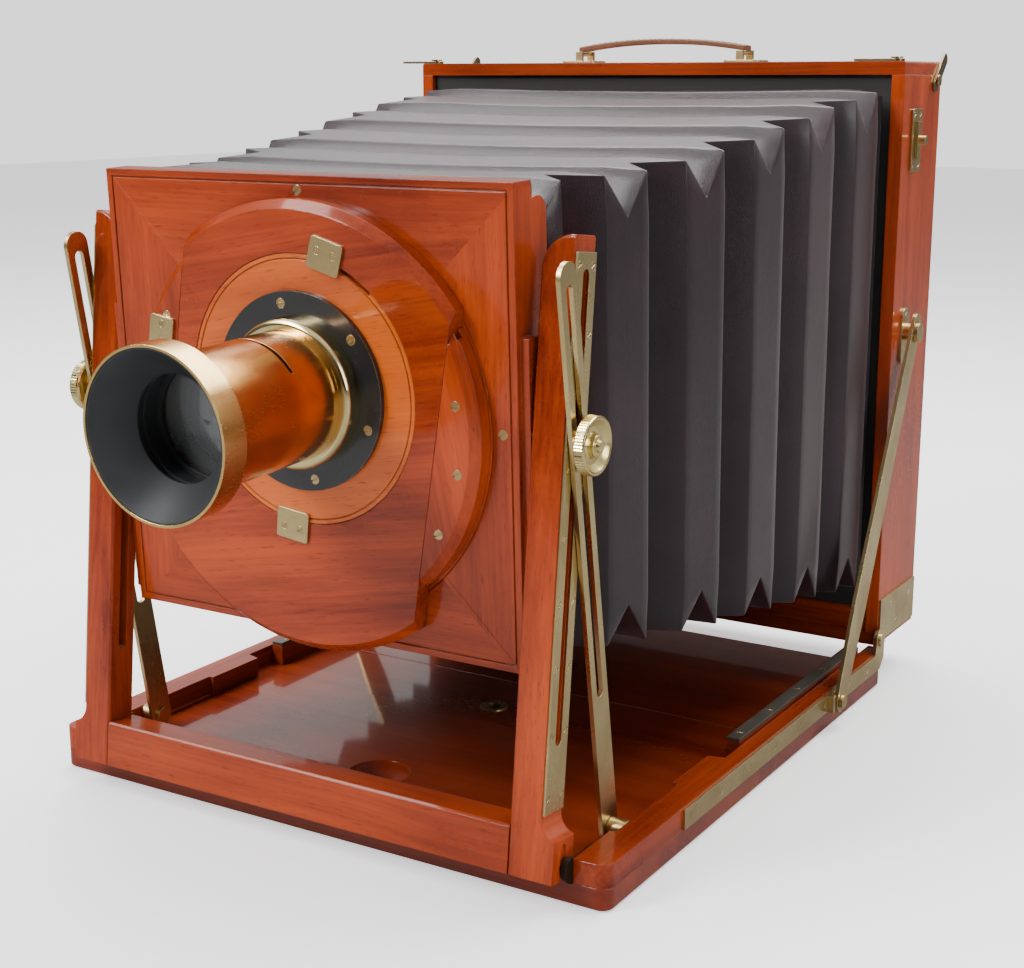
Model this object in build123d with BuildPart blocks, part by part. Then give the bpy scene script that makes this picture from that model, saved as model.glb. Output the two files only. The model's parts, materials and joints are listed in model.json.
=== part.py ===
"""Folding mahogany field camera: brass bound base, leaning front frame, bellows and back box.

Frame: X to the camera's left-to-right, Y from the lens to the plate, Z up, millimetres.
Origin: on the axis of the round hole in the baseboard, at the underside of the base.
"""
import os
from math import atan2, cos, degrees, radians, sin

from build123d import *

os.makedirs("parts", exist_ok=True)

# ---------------------------------------------------------------- driving sizes
base_width = 370.0
base_length = 395.0
board_thickness = 12.0          # floor of the base
rail_height = 13.0              # side rails above the floor
hole_setback = 65.0             # front edge of the base to the round hole
hole_radius = 18.0
front_rail_width = 19.8         # side rail where the front frame folds in
rear_rail_width = 10.0
rail_step_y = 92.0              # where the side rail narrows
runner_width = 8.3
runner_front_y = 118.0
runner_length = 196.0
brass_sheet = 1.5               # plates and runner caps
brass_bar = 2.5                 # struts and stays
running_gap = 0.3
pin_clearance = 0.05            # radial, pins in their own bores

frame_lean = 6.0                # front frame leans back, degrees
upright_width = 18.0
upright_depth = 20.0
frame_inset = 31.5              # side of the base to the outer faces of the uprights
foot_flare = 8.0                # feet of the uprights spread this far beyond them
bottom_rail_height = 26.0
stud_height = 212.5             # along the upright, foot pivot to clamping stud
strut_width = 16.0
strut_slot_width = 6.4
strut_length = 312.0
knob_radius = 15.0

panel_tilt = 2.5                # lens panel tips forward on its studs, degrees
panel_side_gap = 6.7            # lens panel to the inner faces of the uprights
panel_above_stud = 124.5
panel_below_stud = 120.5
panel_thickness = 16.0
turntable_radius = 110.5
cheek_radius = 108.7
board_radius = 119.5
board_half_width = 84.0
raised_thickness = 12.0         # cheeks and sliding board stand this proud
slide_turn = 10.0               # turntable is turned clockwise by this, degrees
lens_disc_radius = 70.5
flange_radius = 52.0
barrel_radius = 34.0
hood_radius = 43.3
hood_reach = 132.5              # stud axis to the front rim of the hood

box_inset = 2.0                 # side of the base to the side of the back box
box_floor_gap = 3.0             # rails to the underside of the back box
box_height = 385.6
box_setback = 7.0               # front of the back box ahead of the rear edge of the base
box_depth = 72.0
box_wall = 8.5
screen_thickness = 9.7
hinge_pin_rise = 8.0            # back hinge pins above the rails
stay_foot_setback = 95.0        # foot of the stays ahead of the rear edge of the base
plate_width = 305.0             # 12 x 10 inch plate, lying on its long side
plate_height = 254.0

# ---------------------------------------------------------------- derived places
base_half = base_width / 2
base_front_y = -hole_setback
base_rear_y = base_length - hole_setback
floor_z = board_thickness
rail_top_z = floor_z + rail_height
front_rail_inner_x = base_half - front_rail_width
foot_pivot = (base_front_y - 2.0, floor_z + 8.0)
frame_half_width = base_half - frame_inset
foot_half_width = frame_half_width + foot_flare
panel_half_width = frame_half_width - upright_width - panel_side_gap
upright_inner_x = frame_half_width - upright_width
frame_front_w = 12.5            # front face of the frame ahead of the foot pivot
frame_rear_w = frame_front_w - upright_depth
slot_w = (frame_front_w + frame_rear_w) / 2
foot_bottom_v = -6.0
plate_x = frame_half_width + brass_sheet
strut_x = plate_x + running_gap          # inner face of the struts
strut_outer_x = strut_x + brass_bar
lean = radians(frame_lean)
frame_up = Vector(0, sin(lean), cos(lean))
frame_out = Vector(0, -cos(lean), sin(lean))
strut_pivot = (base_front_y + 53.0, floor_z + strut_width / 2 + 0.4)
stud_point = Vector(0, foot_pivot[0], foot_pivot[1]) + frame_up * stud_height + frame_out * slot_w
strut_angle = degrees(atan2(stud_point.Y - strut_pivot[0], stud_point.Z - strut_pivot[1]))
tilt = radians(panel_tilt)
panel_up = Vector(0, -sin(tilt), cos(tilt))
panel_out = Vector(0, -cos(tilt), -sin(tilt))
panel_front_c = 10.0            # panel's front face ahead of the stud axis
panel_rear_c = panel_front_c - panel_thickness
turntable_b = 1.0               # turntable centre above the stud axis
turntable_x = 3.5               # and to the right of the middle
lens_shift = 15.5               # lens centre above the turntable centre, along the slide
board_shift = -7.2
raised_front_c = panel_front_c + raised_thickness
box_half_width = base_half - box_inset
box_bottom_z = rail_top_z + box_floor_gap
box_top_z = box_bottom_z + box_height
box_front_y = base_rear_y - box_setback
box_rear_y = box_front_y + box_depth
box_inner_x = box_half_width - box_wall
screen_front_y = box_rear_y - screen_thickness
stay_top = (box_front_y + 22.0, box_bottom_z + 212.0)
hinge_pin_z = rail_top_z + hinge_pin_rise
stay_foot = (base_rear_y - stay_foot_setback, floor_z + 6.0)
stay_x = base_half + brass_sheet + 2.6 + running_gap
hinge_pin_y = box_front_y - 1.0


def save(piece, name):
    """Label a finished piece and write it."""
    piece.part.label = name
    export_step(piece.part, f"parts/{name}.step")


def save_group(pieces, name):
    """Write several separate pieces as one named group; touching ones stay separate solids."""
    group = Compound([solid for piece in pieces for solid in piece.part.solids()])
    group.label = name
    export_step(group, f"parts/{name}.step")


def frame_plane(w=0.0):
    """Plane of the leaning front frame, facing forward, w ahead of the foot pivot."""
    origin = Vector(0, foot_pivot[0], foot_pivot[1]) + frame_out * w
    return Plane(origin=origin, x_dir=(1, 0, 0), z_dir=frame_out)


def panel_plane(c=0.0):
    """Plane of the lens panel, facing forward, c ahead of the stud axis."""
    origin = stud_point + panel_out * c
    return Plane(origin=origin, x_dir=(1, 0, 0), z_dir=panel_out)


def turned_plane(c=0.0, along=0.0):
    """Plane of the turntable: its Y runs along the slide, origin moved along it."""
    centre = stud_point + Vector(turntable_x, 0, 0) + panel_up * turntable_b + panel_out * c
    turn = radians(slide_turn)
    across = Vector(cos(turn), 0, 0) - panel_up * sin(turn)
    slide = Vector(sin(turn), 0, 0) + panel_up * cos(turn)
    return Plane(origin=centre + slide * along, x_dir=across, z_dir=panel_out)


def side_plane(x, y=0.0, z=0.0, facing=1):
    """Plane square to X at x, facing outward on either side, its Y pointing up."""
    return Plane(origin=(x, y, z), x_dir=(0, facing, 0), z_dir=(facing, 0, 0))


def spun(plane, angle):
    """The same plane turned about its own normal, counter-clockwise in degrees."""
    turn = radians(angle)
    x_dir = plane.x_dir * cos(turn) + plane.y_dir * sin(turn)
    return Plane(origin=plane.origin, x_dir=x_dir, z_dir=plane.z_dir)


def countersunk_screws(plane, places, radius, depth=6.0):
    """A group of slotted screws whose heads lie flush in the plane."""
    head = radius * 0.35
    with BuildPart() as screws:
        with BuildSketch(plane):
            with Locations(*places):
                Circle(radius)
        extrude(amount=-head)
        with BuildSketch(plane.offset(-head)):
            with Locations(*places):
                Circle(radius * 0.55)
        extrude(amount=-depth)
        with BuildSketch(plane):
            with Locations(*places):
                Rectangle(2 * radius + 0.2, radius * 0.3, rotation=35)
        extrude(amount=-head * 0.6, mode=Mode.SUBTRACT)
    return screws


def screw_holes(plane, places, radius, depth=6.0):
    """Cut the seats that countersunk_screws fills, inside the open part."""
    head = radius * 0.35
    with BuildSketch(plane) as seats:
        with Locations(*places):
            Circle(radius)
    extrude(seats.sketch, amount=-head, mode=Mode.SUBTRACT)
    with BuildSketch(plane.offset(-head)) as shanks:
        with Locations(*places):
            Circle(radius * 0.55)
    extrude(shanks.sketch, amount=-depth, mode=Mode.SUBTRACT)


def block(xs, ys, zs, mode=Mode.ADD):
    """Add or cut a square-edged block between the given faces."""
    with Locations(((xs[0] + xs[1]) / 2, (ys[0] + ys[1]) / 2, (zs[0] + zs[1]) / 2)):
        Box(xs[1] - xs[0], ys[1] - ys[0], zs[1] - zs[0], mode=mode)


def disc(plane, depth, outer, inner=0.0, at=(0, 0), mode=Mode.ADD):
    """Add or cut a round plate, or a ring, rising from the plane by depth."""
    with BuildSketch(plane) as face:
        with Locations(at):
            Circle(outer)
            if inner:
                Circle(inner, mode=Mode.SUBTRACT)
    extrude(face.sketch, amount=depth, mode=mode)


def upright_slot(plane, centre, length, width, depth, mode=Mode.SUBTRACT):
    """A round-ended slot running along the plane's Y."""
    with BuildSketch(plane) as face:
        with Locations(centre):
            SlotOverall(length, width, rotation=90)
    extrude(face.sketch, amount=-depth, mode=mode)


# ================================================================= base
side_screw_radius = 2.4
strip_front_y = base_front_y + 84.0
strip_rear_y = stay_foot[0] - 8.0
strip_z = (floor_z + 0.5, rail_top_z - 1.0)
strip_mid_z = (strip_z[0] + strip_z[1]) / 2
strip_screw_ys = [strip_front_y + 7 + i * (strip_rear_y - strip_front_y - 14) / 5 for i in range(6)]
strip_screws = [(y, strip_mid_z) for y in strip_screw_ys]
bracket_front_y = strip_rear_y + running_gap
bracket_screws = [(bracket_front_y + 34, strip_mid_z), (bracket_front_y + 72, strip_mid_z)]
ear_radius = 8.0
stay_pin_depth = 6.0
foot_plate_thickness = 3.0
foot_pin_radius = 3.0
strut_pin_radius = 2.6
hinge_pin_radius = 3.0
stay_pin_radius = 2.2
bush_y = base_front_y + 191.0
floor_seam_y = base_front_y + 237.0
bush_radius = 9.0
tripod_thread_radius = 4.76


with BuildPart() as base_board:
    with BuildSketch(Plane.XY):
        with Locations((0, (base_front_y + base_rear_y) / 2)):
            RectangleRounded(2 * base_half, base_rear_y - base_front_y, 7.0)
    extrude(amount=board_thickness)
    Hole(hole_radius)
    with Locations((0, bush_y, board_thickness)):
        Hole(bush_radius)
    # seam where the two floor boards meet
    block((-front_rail_inner_x, front_rail_inner_x), (floor_seam_y - 0.5, floor_seam_y + 0.5),
          (board_thickness - 0.8, board_thickness), mode=Mode.SUBTRACT)
    chamfer(base_board.edges().group_by(Axis.Z)[0].filter_by(GeomType.LINE), 1.0)
save(base_board, "base_board")

with BuildPart() as tripod_bush:
    with Locations((0, bush_y, 1.0)):
        Cylinder(bush_radius - pin_clearance, board_thickness - 0.5,
                 align=(Align.CENTER, Align.CENTER, Align.MIN))
        Cylinder(tripod_thread_radius, board_thickness, align=(Align.CENTER, Align.CENTER, Align.MIN),
                 mode=Mode.SUBTRACT)
save(tripod_bush, "tripod_bush")


def side_rail(sign):
    """Side rail of the base: wide at the front, narrow beside the metal-capped runner."""
    outer = sign * base_half
    with BuildPart() as rail:
        with BuildSketch(Plane.XY.offset(floor_z)):
            with BuildLine():
                Polyline(
                    (outer, base_front_y),
                    (sign * front_rail_inner_x, base_front_y),
                    (sign * front_rail_inner_x, rail_step_y),
                    (sign * (base_half - rear_rail_width), rail_step_y + 3),
                    (sign * (base_half - rear_rail_width), base_rear_y),
                    (outer, base_rear_y),
                    close=True,
                )
            make_face()
        extrude(amount=rail_height)
        corners = rail.edges().filter_by(Axis.Z).filter_by_position(
            Axis.X, min(outer, outer - sign), max(outer, outer - sign))
        fillet(corners, 7.0)
        # shallow pocket for the folded strut
        with BuildSketch(Plane.XY.offset(rail_top_z)):
            with Locations((sign * (front_rail_inner_x + 1.5), strut_pivot[0] + 22)):
                Rectangle(3.0, 74)
        extrude(amount=-rail_height + 2, mode=Mode.SUBTRACT)
        # bores for the strut pin, screws of the side strip and bracket
        with BuildSketch(side_plane(sign * (front_rail_inner_x + 3), facing=-sign)):
            with Locations((-sign * strut_pivot[0], strut_pivot[1])):
                Circle(strut_pin_radius)
        extrude(amount=-10, mode=Mode.SUBTRACT)
        outer_plane = side_plane(sign * (base_half + brass_sheet), facing=sign)
        screw_holes(outer_plane, [(sign * y, z) for y, z in strip_screws + bracket_screws],
                    side_screw_radius, 3.0)
        disc(outer_plane, -stay_pin_depth, stay_pin_radius, at=(sign * stay_foot[0], stay_foot[1]),
             mode=Mode.SUBTRACT)
    return rail


save_group([side_rail(-1), side_rail(1)], "base_side_rails")

runner_x = front_rail_inner_x + runner_width / 2
runner_y = runner_front_y + runner_length / 2
runner_screw_ys = [runner_front_y + 10 + i * (runner_length - 20) / 4 for i in range(5)]
runner_height = rail_height + 1.0
cap_top_z = floor_z + runner_height + 2.0
runner_screw_radius = 2.0
runner_screws = [(s * runner_x, y) for s in (-1, 1) for y in runner_screw_ys]
with BuildPart() as runners:
    with BuildSketch(Plane.XY.offset(floor_z)):
        with Locations((-runner_x, runner_y), (runner_x, runner_y)):
            Rectangle(runner_width, runner_length)
    extrude(amount=runner_height)
    screw_holes(Plane.XY.offset(cap_top_z), runner_screws, runner_screw_radius, 4.0)
save(runners, "runners")

with BuildPart() as runner_caps:
    with BuildSketch(Plane.XY.offset(floor_z + runner_height)):
        with Locations((-runner_x, runner_y), (runner_x, runner_y)):
            Rectangle(runner_width, runner_length)
    extrude(amount=2.0)
    screw_holes(Plane.XY.offset(cap_top_z), runner_screws, runner_screw_radius, 4.0)
save(runner_caps, "runner_caps")

with BuildPart() as side_strips:
    for sign in (-1, 1):
        with BuildSketch(side_plane(sign * base_half, facing=sign)):
            with Locations((sign * (strip_front_y + strip_rear_y) / 2, strip_mid_z)):
                Rectangle(strip_rear_y - strip_front_y, strip_z[1] - strip_z[0])
        extrude(amount=brass_sheet)
        outer_plane = side_plane(sign * (base_half + brass_sheet), facing=sign)
        # upright stop post beside the foot of the stay
        with BuildSketch(outer_plane):
            with Locations((sign * (strip_rear_y - 3), strip_mid_z + 1)):
                Rectangle(3.0, 11.0)
        extrude(amount=5.0)
        screw_holes(outer_plane, [(sign * y, z) for y, z in strip_screws], side_screw_radius, 3.0)
save(side_strips, "side_strips")


with BuildPart() as hinge_brackets:
    for sign in (-1, 1):
        with BuildSketch(side_plane(sign * base_half, facing=sign)):
            # a bar along the rail, rising to a round ear at the hinge pin
            with BuildLine():
                Polyline(
                    (sign * bracket_front_y, strip_z[0]),
                    (sign * (base_rear_y - 8), strip_z[0]),
                    (sign * (base_rear_y - 1), strip_z[0] + 7),
                    (sign * (hinge_pin_y + ear_radius - 1), hinge_pin_z),
                    (sign * (hinge_pin_y - ear_radius), hinge_pin_z),
                    (sign * (hinge_pin_y - ear_radius - 2), strip_z[1]),
                    (sign * bracket_front_y, strip_z[1]),
                    close=True,
                )
            make_face()
            with Locations((sign * hinge_pin_y, hinge_pin_z)):
                Circle(ear_radius)
        extrude(amount=brass_sheet)
        outer_plane = side_plane(sign * (base_half + brass_sheet), facing=sign)
        disc(outer_plane, -brass_sheet, hinge_pin_radius, at=(sign * hinge_pin_y, hinge_pin_z),
             mode=Mode.SUBTRACT)
        disc(outer_plane, -brass_sheet, stay_pin_radius, at=(sign * stay_foot[0], stay_foot[1]),
             mode=Mode.SUBTRACT)
        screw_holes(outer_plane, [(sign * y, z) for y, z in bracket_screws], side_screw_radius, 3.0)
save(hinge_brackets, "hinge_brackets")

with BuildPart() as base_screws:
    add(countersunk_screws(Plane.XY.offset(cap_top_z), runner_screws, runner_screw_radius, 4.0).part)
    for sign in (-1, 1):
        places = [(sign * y, z) for y, z in strip_screws + bracket_screws]
        outer_plane = side_plane(sign * (base_half + brass_sheet), facing=sign)
        add(countersunk_screws(outer_plane, places, side_screw_radius, 3.0).part)
save(base_screws, "base_screws")

with BuildPart() as foot_hinges:
    for sign in (-1, 1):
        inner = front_rail_inner_x - foot_plate_thickness
        with BuildSketch(side_plane(sign * inner, facing=sign)):
            with Locations((sign * foot_pivot[0], foot_pivot[1])):
                Circle(6.0)
            with Locations((sign * (base_front_y + 11), (floor_z + rail_top_z - 2) / 2)):
                Rectangle(26.0, rail_height - 2)
        extrude(amount=foot_plate_thickness)
        disc(side_plane(sign * inner, facing=-sign), 14.0, foot_pin_radius,
             at=(-sign * foot_pivot[0], foot_pivot[1]))
save(foot_hinges, "foot_hinges")

with BuildPart() as pivot_pins:
    for sign in (-1, 1):
        # strut pivots: head inside, shank through the strut, thicker spacer against the rail
        inner_face = side_plane(sign * (strut_x - running_gap), facing=-sign)
        place = (-sign * strut_pivot[0], strut_pivot[1])
        disc(inner_face, strut_x - running_gap - front_rail_inner_x - 12, strut_pin_radius, at=place)
        disc(inner_face, 1.2, 5.0, at=place)
        disc(side_plane(sign * (strut_outer_x + running_gap), facing=sign),
             front_rail_inner_x + 3 - strut_outer_x - running_gap, 5.0,
             at=(sign * strut_pivot[0], strut_pivot[1]))
        # back hinge pins and stay pins
        outer_plane = side_plane(sign * (base_half + brass_sheet), facing=sign)
        place = (sign * hinge_pin_y, hinge_pin_z)
        disc(outer_plane, box_half_width + 0.2 - base_half - brass_sheet, hinge_pin_radius, at=place)
        disc(outer_plane, 1.2, 4.6, at=place)
        stay_face = side_plane(sign * (stay_x + brass_bar + running_gap), facing=sign)
        place = (sign * stay_foot[0], stay_foot[1])
        disc(stay_face, base_half + brass_sheet - stay_pin_depth - stay_x - brass_bar - running_gap,
             stay_pin_radius, at=place)
        disc(stay_face, 2.0, 4.4, at=place)
        disc(outer_plane, stay_x - running_gap - base_half - brass_sheet, 4.4, at=place)
save(pivot_pins, "pivot_pins")


# ================================================================= leaning front frame
upright_top_v = 312.0
slot_bottom_v = 62.0
slot_top_v = 296.0
upright_slot_width = 6.0
plate_bottom_v = 28.0
plate_top_v = 304.0
plate_width_q = 18.6
pair_screw_radius = 2.0
pair_spread = 6.6
pair_vs = [36.0 + i * 32.7 for i in range(9)]
lap_depth = 8.0
rail_tenon = 10.0
stud_radius = 2.5
cove_bottom_v = 16.0
slot_mid_v = (slot_bottom_v + slot_top_v) / 2
slot_q = -slot_w
pair_places = [(side * pair_spread, v) for v in pair_vs for side in (-1, 1)]


def frame_side_plane(x, facing):
    """Plane square to X on the leaning frame: its Y runs up the upright, rearward is facing * X."""
    return Plane(origin=(x, foot_pivot[0], foot_pivot[1]), x_dir=frame_out * -facing, z_dir=(facing, 0, 0))


def pair_holes(sign):
    """Places of the plate screws in the side plane of one upright."""
    return [(sign * slot_q + dq, v) for dq, v in pair_places]


def upright(sign):
    """Leaning post with a coved foot, a rounded inner top corner and a long slot."""
    inner = sign * upright_inner_x
    outer = sign * frame_half_width
    foot = sign * foot_half_width
    cove = foot_half_width - frame_half_width
    with BuildPart() as post:
        with BuildSketch(frame_plane(frame_front_w)):
            with BuildLine():
                Polyline((outer, upright_top_v), (outer, plate_bottom_v - 1))
                ThreePointArc(
                    (outer, plate_bottom_v - 1),
                    (outer + sign * cove * 0.29, plate_bottom_v - 8.5),
                    (foot, cove_bottom_v),
                )
                Polyline((foot, cove_bottom_v), (foot, foot_bottom_v), (inner, foot_bottom_v),
                         (inner, upright_top_v - 16))
                ThreePointArc(
                    (inner, upright_top_v - 16),
                    (sign * (upright_inner_x + 5.3), upright_top_v - 4.7),
                    (outer, upright_top_v),
                )
            make_face()
        extrude(amount=-upright_depth)
        long_edges = post.edges().filter_by(Axis((0, 0, 0), frame_up)).filter_by_position(
            Axis.X, min(inner, inner), max(inner, inner))
        chamfer(long_edges, 1.2)
        bottom_rear = post.edges().filter_by(Axis.X).group_by(Axis.Z)[0].sort_by(Axis.Y)[-1]
        fillet(bottom_rear, 3.0)
        side = frame_side_plane(foot, sign)
        upright_slot(side, (sign * slot_q, slot_mid_v), slot_top_v - slot_bottom_v, upright_slot_width, 40)
        upright_slot(side, (sign * slot_q, foot_bottom_v + 8), 22.0, 5.0, 1.2)
        disc(side, -14.0, foot_pin_radius + pin_clearance, mode=Mode.SUBTRACT)
        screw_holes(frame_side_plane(sign * plate_x, sign), pair_holes(sign), pair_screw_radius, 4.0)
        with BuildSketch(frame_plane(slot_w + lap_depth / 2)):
            with Locations((sign * (upright_inner_x + rail_tenon / 2), (foot_bottom_v + 20) / 2)):
                Rectangle(rail_tenon, 16.0)
        extrude(amount=-lap_depth, mode=Mode.SUBTRACT)
    return post


save_group([upright(-1), upright(1)], "uprights")

with BuildPart() as front_bottom_rail:
    with BuildSketch(frame_plane(frame_front_w)):
        with Locations((0, foot_bottom_v + bottom_rail_height / 2)):
            Rectangle(2 * upright_inner_x, bottom_rail_height)
    extrude(amount=-upright_depth)
    chamfer(front_bottom_rail.edges().filter_by(Axis.X).group_by(Axis.Z)[-1], 1.2)
    fillet(front_bottom_rail.edges().filter_by(Axis.X).group_by(Axis.Z)[0].sort_by(Axis.Y)[-1], 3.0)
    with BuildSketch(frame_plane(slot_w + lap_depth / 2)):
        with Locations((0, (foot_bottom_v + 20) / 2)):
            Rectangle(2 * (upright_inner_x + rail_tenon), 16.0)
    extrude(amount=-lap_depth)
save(front_bottom_rail, "front_bottom_rail")

with BuildPart() as upright_plates:
    for sign in (-1, 1):
        with BuildSketch(frame_side_plane(sign * frame_half_width, sign)):
            with Locations((sign * slot_q, (plate_bottom_v + plate_top_v) / 2)):
                Rectangle(plate_width_q, plate_top_v - plate_bottom_v)
            with Locations((sign * slot_q, slot_mid_v)):
                SlotOverall(slot_top_v - slot_bottom_v, upright_slot_width, rotation=90, mode=Mode.SUBTRACT)
        extrude(amount=brass_sheet)
        screw_holes(frame_side_plane(sign * plate_x, sign), pair_holes(sign), pair_screw_radius, 4.0)
save(upright_plates, "upright_plates")

with BuildPart() as upright_screws:
    for sign in (-1, 1):
        add(countersunk_screws(frame_side_plane(sign * plate_x, sign), pair_holes(sign),
                               pair_screw_radius, 4.0).part)
save(upright_screws, "upright_screws")


def strut(sign):
    """Slotted brass strut from the base rail up past the clamping stud."""
    turn = radians(strut_angle)
    face = Plane(
        origin=(sign * strut_outer_x, strut_pivot[0], strut_pivot[1]),
        x_dir=(0, sign * cos(turn), -sign * sin(turn)),
        z_dir=(sign, 0, 0),
    )
    with BuildPart() as bar:
        upright_slot(face, (0, (strut_length - strut_width) / 2), strut_length, strut_width, brass_bar,
                     mode=Mode.ADD)
        upright_slot(face, (0, 185.0), 216.0, strut_slot_width, brass_bar)
        disc(face, -brass_bar, strut_pin_radius + pin_clearance, mode=Mode.SUBTRACT)
    return bar


save_group([strut(-1), strut(1)], "front_struts")

panel_side_x = panel_half_width + 5.0
stud_depth = 16.0
with BuildPart() as clamp_studs:
    for sign in (-1, 1):
        root = side_plane(sign * (panel_side_x - stud_depth), stud_point.Y, stud_point.Z, sign)
        disc(root, plate_x - panel_side_x + stud_depth, stud_radius)
        collar = side_plane(sign * (panel_side_x + running_gap), stud_point.Y, stud_point.Z, sign)
        disc(collar, 1.1, 6.0)
save(clamp_studs, "clamp_studs")


def clamp_knob(sign):
    """Dished knurled wheel with a hub and the rounded end of its screw."""
    start = strut_outer_x + running_gap
    section = Plane(origin=(0, stud_point.Y, stud_point.Z), x_dir=(sign, 0, 0), z_dir=(0, -sign, 0))
    with BuildPart() as knob:
        with BuildSketch(section):
            with BuildLine():
                Polyline(
                    (start, 0), (start, 6.5), (start + 2.4, 6.5), (start + 2.4, knob_radius - 1.2),
                    (start + 3.6, knob_radius), (start + 8.0, knob_radius), (start + 9.0, knob_radius - 1),
                    (start + 9.0, knob_radius - 2.6), (start + 5.4, knob_radius - 5.4),
                    (start + 5.4, 6.0), (start + 9.2, 5.2), (start + 9.2, 3.0), (start + 11.2, 2.4),
                    (start + 11.2, 0), close=True,
                )
            make_face()
        revolve(axis=Axis((0, stud_point.Y, stud_point.Z), (sign, 0, 0)))
    return knob


save(clamp_knob(-1), "left_clamp_knob")
save(clamp_knob(1), "right_clamp_knob")

# ================================================================= lens panel
mitre = 60.0
bead_inset = 3.6
bead_width = 1.0
bead_depth = 0.8
rebate_radius = 107.0
rebate_c = 4.0
cleat_top_b = 50.5
cleat_bottom_b = -114.5
panel_bottom_b = -panel_below_stud
panel_top_b = panel_above_stud
panel_mid_b = (panel_top_b + panel_bottom_b) / 2


batten_thickness = 3.2
batten_depth = 18.0             # from inside the panel's rear face, backward
batten_top_b = panel_above_stud - 8.0
batten_bottom_b = cleat_bottom_b
batten_mid_c = panel_rear_c + 4.0 - batten_depth / 2
batten_mid_b = (batten_top_b + batten_bottom_b) / 2
batten_mid = panel_out * batten_mid_c + panel_up * batten_mid_b
batten_mid_out = -batten_mid.Y
batten_mid_up = batten_mid.Z


def panel_member(corners, cleat_sign=0):
    """One mitred member of the lens panel, with its part of the round rebated hole."""
    with BuildPart() as member:
        with BuildSketch(panel_plane(panel_front_c)):
            with BuildLine():
                Polyline(*corners, close=True)
            make_face()
        extrude(amount=-panel_thickness)
        with BuildSketch(panel_plane(panel_front_c)):
            with Locations((0, panel_mid_b)):
                Rectangle(2 * (panel_half_width - bead_inset), panel_top_b - panel_bottom_b - 2 * bead_inset)
                Rectangle(2 * (panel_half_width - bead_inset - bead_width),
                          panel_top_b - panel_bottom_b - 2 * (bead_inset + bead_width), mode=Mode.SUBTRACT)
        extrude(amount=-bead_depth, mode=Mode.SUBTRACT)
        if cleat_sign:
            with BuildSketch(panel_plane(panel_front_c - 3)):
                with Locations((cleat_sign * (panel_half_width + 2.5), (cleat_top_b + cleat_bottom_b) / 2)):
                    Rectangle(5.0, cleat_top_b - cleat_bottom_b)
            extrude(amount=-10.0)
            # batten behind the edge of the panel, its upper end rounded over
            with BuildSketch(side_plane(cleat_sign * (panel_half_width - batten_thickness), stud_point.Y,
                                        stud_point.Z, cleat_sign)) as side:
                with Locations(Location((-cleat_sign * batten_mid_out, batten_mid_up, 0),
                                        (0, 0, cleat_sign * panel_tilt))):
                    RectangleRounded(batten_depth, batten_top_b - batten_bottom_b, batten_depth * 0.45)
            extrude(side.sketch, amount=batten_thickness)
            disc(side_plane(cleat_sign * panel_side_x, stud_point.Y, stud_point.Z, cleat_sign),
                 -stud_depth, stud_radius + pin_clearance, mode=Mode.SUBTRACT)
        disc(turned_plane(panel_front_c), rebate_c - panel_front_c, turntable_radius, mode=Mode.SUBTRACT)
        disc(turned_plane(panel_front_c), -panel_thickness, rebate_radius, mode=Mode.SUBTRACT)
        screw_holes(panel_plane(panel_front_c), panel_screw_places, panel_screw_radius, panel_screw_depth)
    return member


panel_screw_radius = 2.6
panel_screw_depth = 5.0           # stops ahead of the stud
panel_screw_places = [(sx * (panel_half_width - 9.0), 2.5) for sx in (-1, 1)] + [(1.0, panel_top_b - 7.5)]
west = -panel_half_width
east = panel_half_width
members = [
    panel_member([(west, panel_top_b), (east, panel_top_b), (east - mitre, panel_top_b - mitre),
                  (west + mitre, panel_top_b - mitre)]),
    panel_member([(west, panel_bottom_b), (east, panel_bottom_b), (east - mitre, panel_bottom_b + mitre),
                  (west + mitre, panel_bottom_b + mitre)]),
    panel_member([(west, panel_top_b), (west, panel_bottom_b), (west + mitre, panel_bottom_b + mitre),
                  (west + mitre, panel_top_b - mitre)], -1),
    panel_member([(east, panel_top_b), (east, panel_bottom_b), (east - mitre, panel_bottom_b + mitre),
                  (east - mitre, panel_top_b - mitre)], 1),
]
save_group(members, "panel_frame")
with BuildPart() as panel_screws:
    add(countersunk_screws(panel_plane(panel_front_c), panel_screw_places, panel_screw_radius,
                           panel_screw_depth).part)
save(panel_screws, "panel_screws")

bellows_frame_depth = 6.0
retainer_radius = 117.0
bellows_start_c = panel_rear_c - bellows_frame_depth
with BuildPart() as bellows_front_frame:
    with BuildSketch(panel_plane(panel_rear_c)):
        with Locations((0, panel_mid_b)):
            Rectangle(2 * (panel_half_width - batten_thickness), panel_top_b - panel_bottom_b - 5)
    extrude(amount=-bellows_frame_depth)
    disc(turned_plane(panel_rear_c), -bellows_frame_depth, retainer_radius + 1.5, mode=Mode.SUBTRACT)
save(bellows_front_frame, "bellows_front_frame")

# ================================================================= turntable, cheeks, sliding board
opening_radius = 58.0
opening_along = 22.0
cheek_groove = 3.0
disc_rebate_c = panel_front_c + 3.7
lens_disc_front_c = raised_front_c - 0.3
cheek_screw_radius = 2.6
cheek_screws = [(sx * x, y) for sx in (-1, 1) for x, y in ((91.8, -35.0), (98.5, -1.0), (92.5, 33.0))]

cheek_plate_centre = (-board_half_width - 10.5, 23.0)
cheek_plate_screws = [(cheek_plate_centre[0], cheek_plate_centre[1] + dy) for dy in (-5.0, 5.0)]

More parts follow.
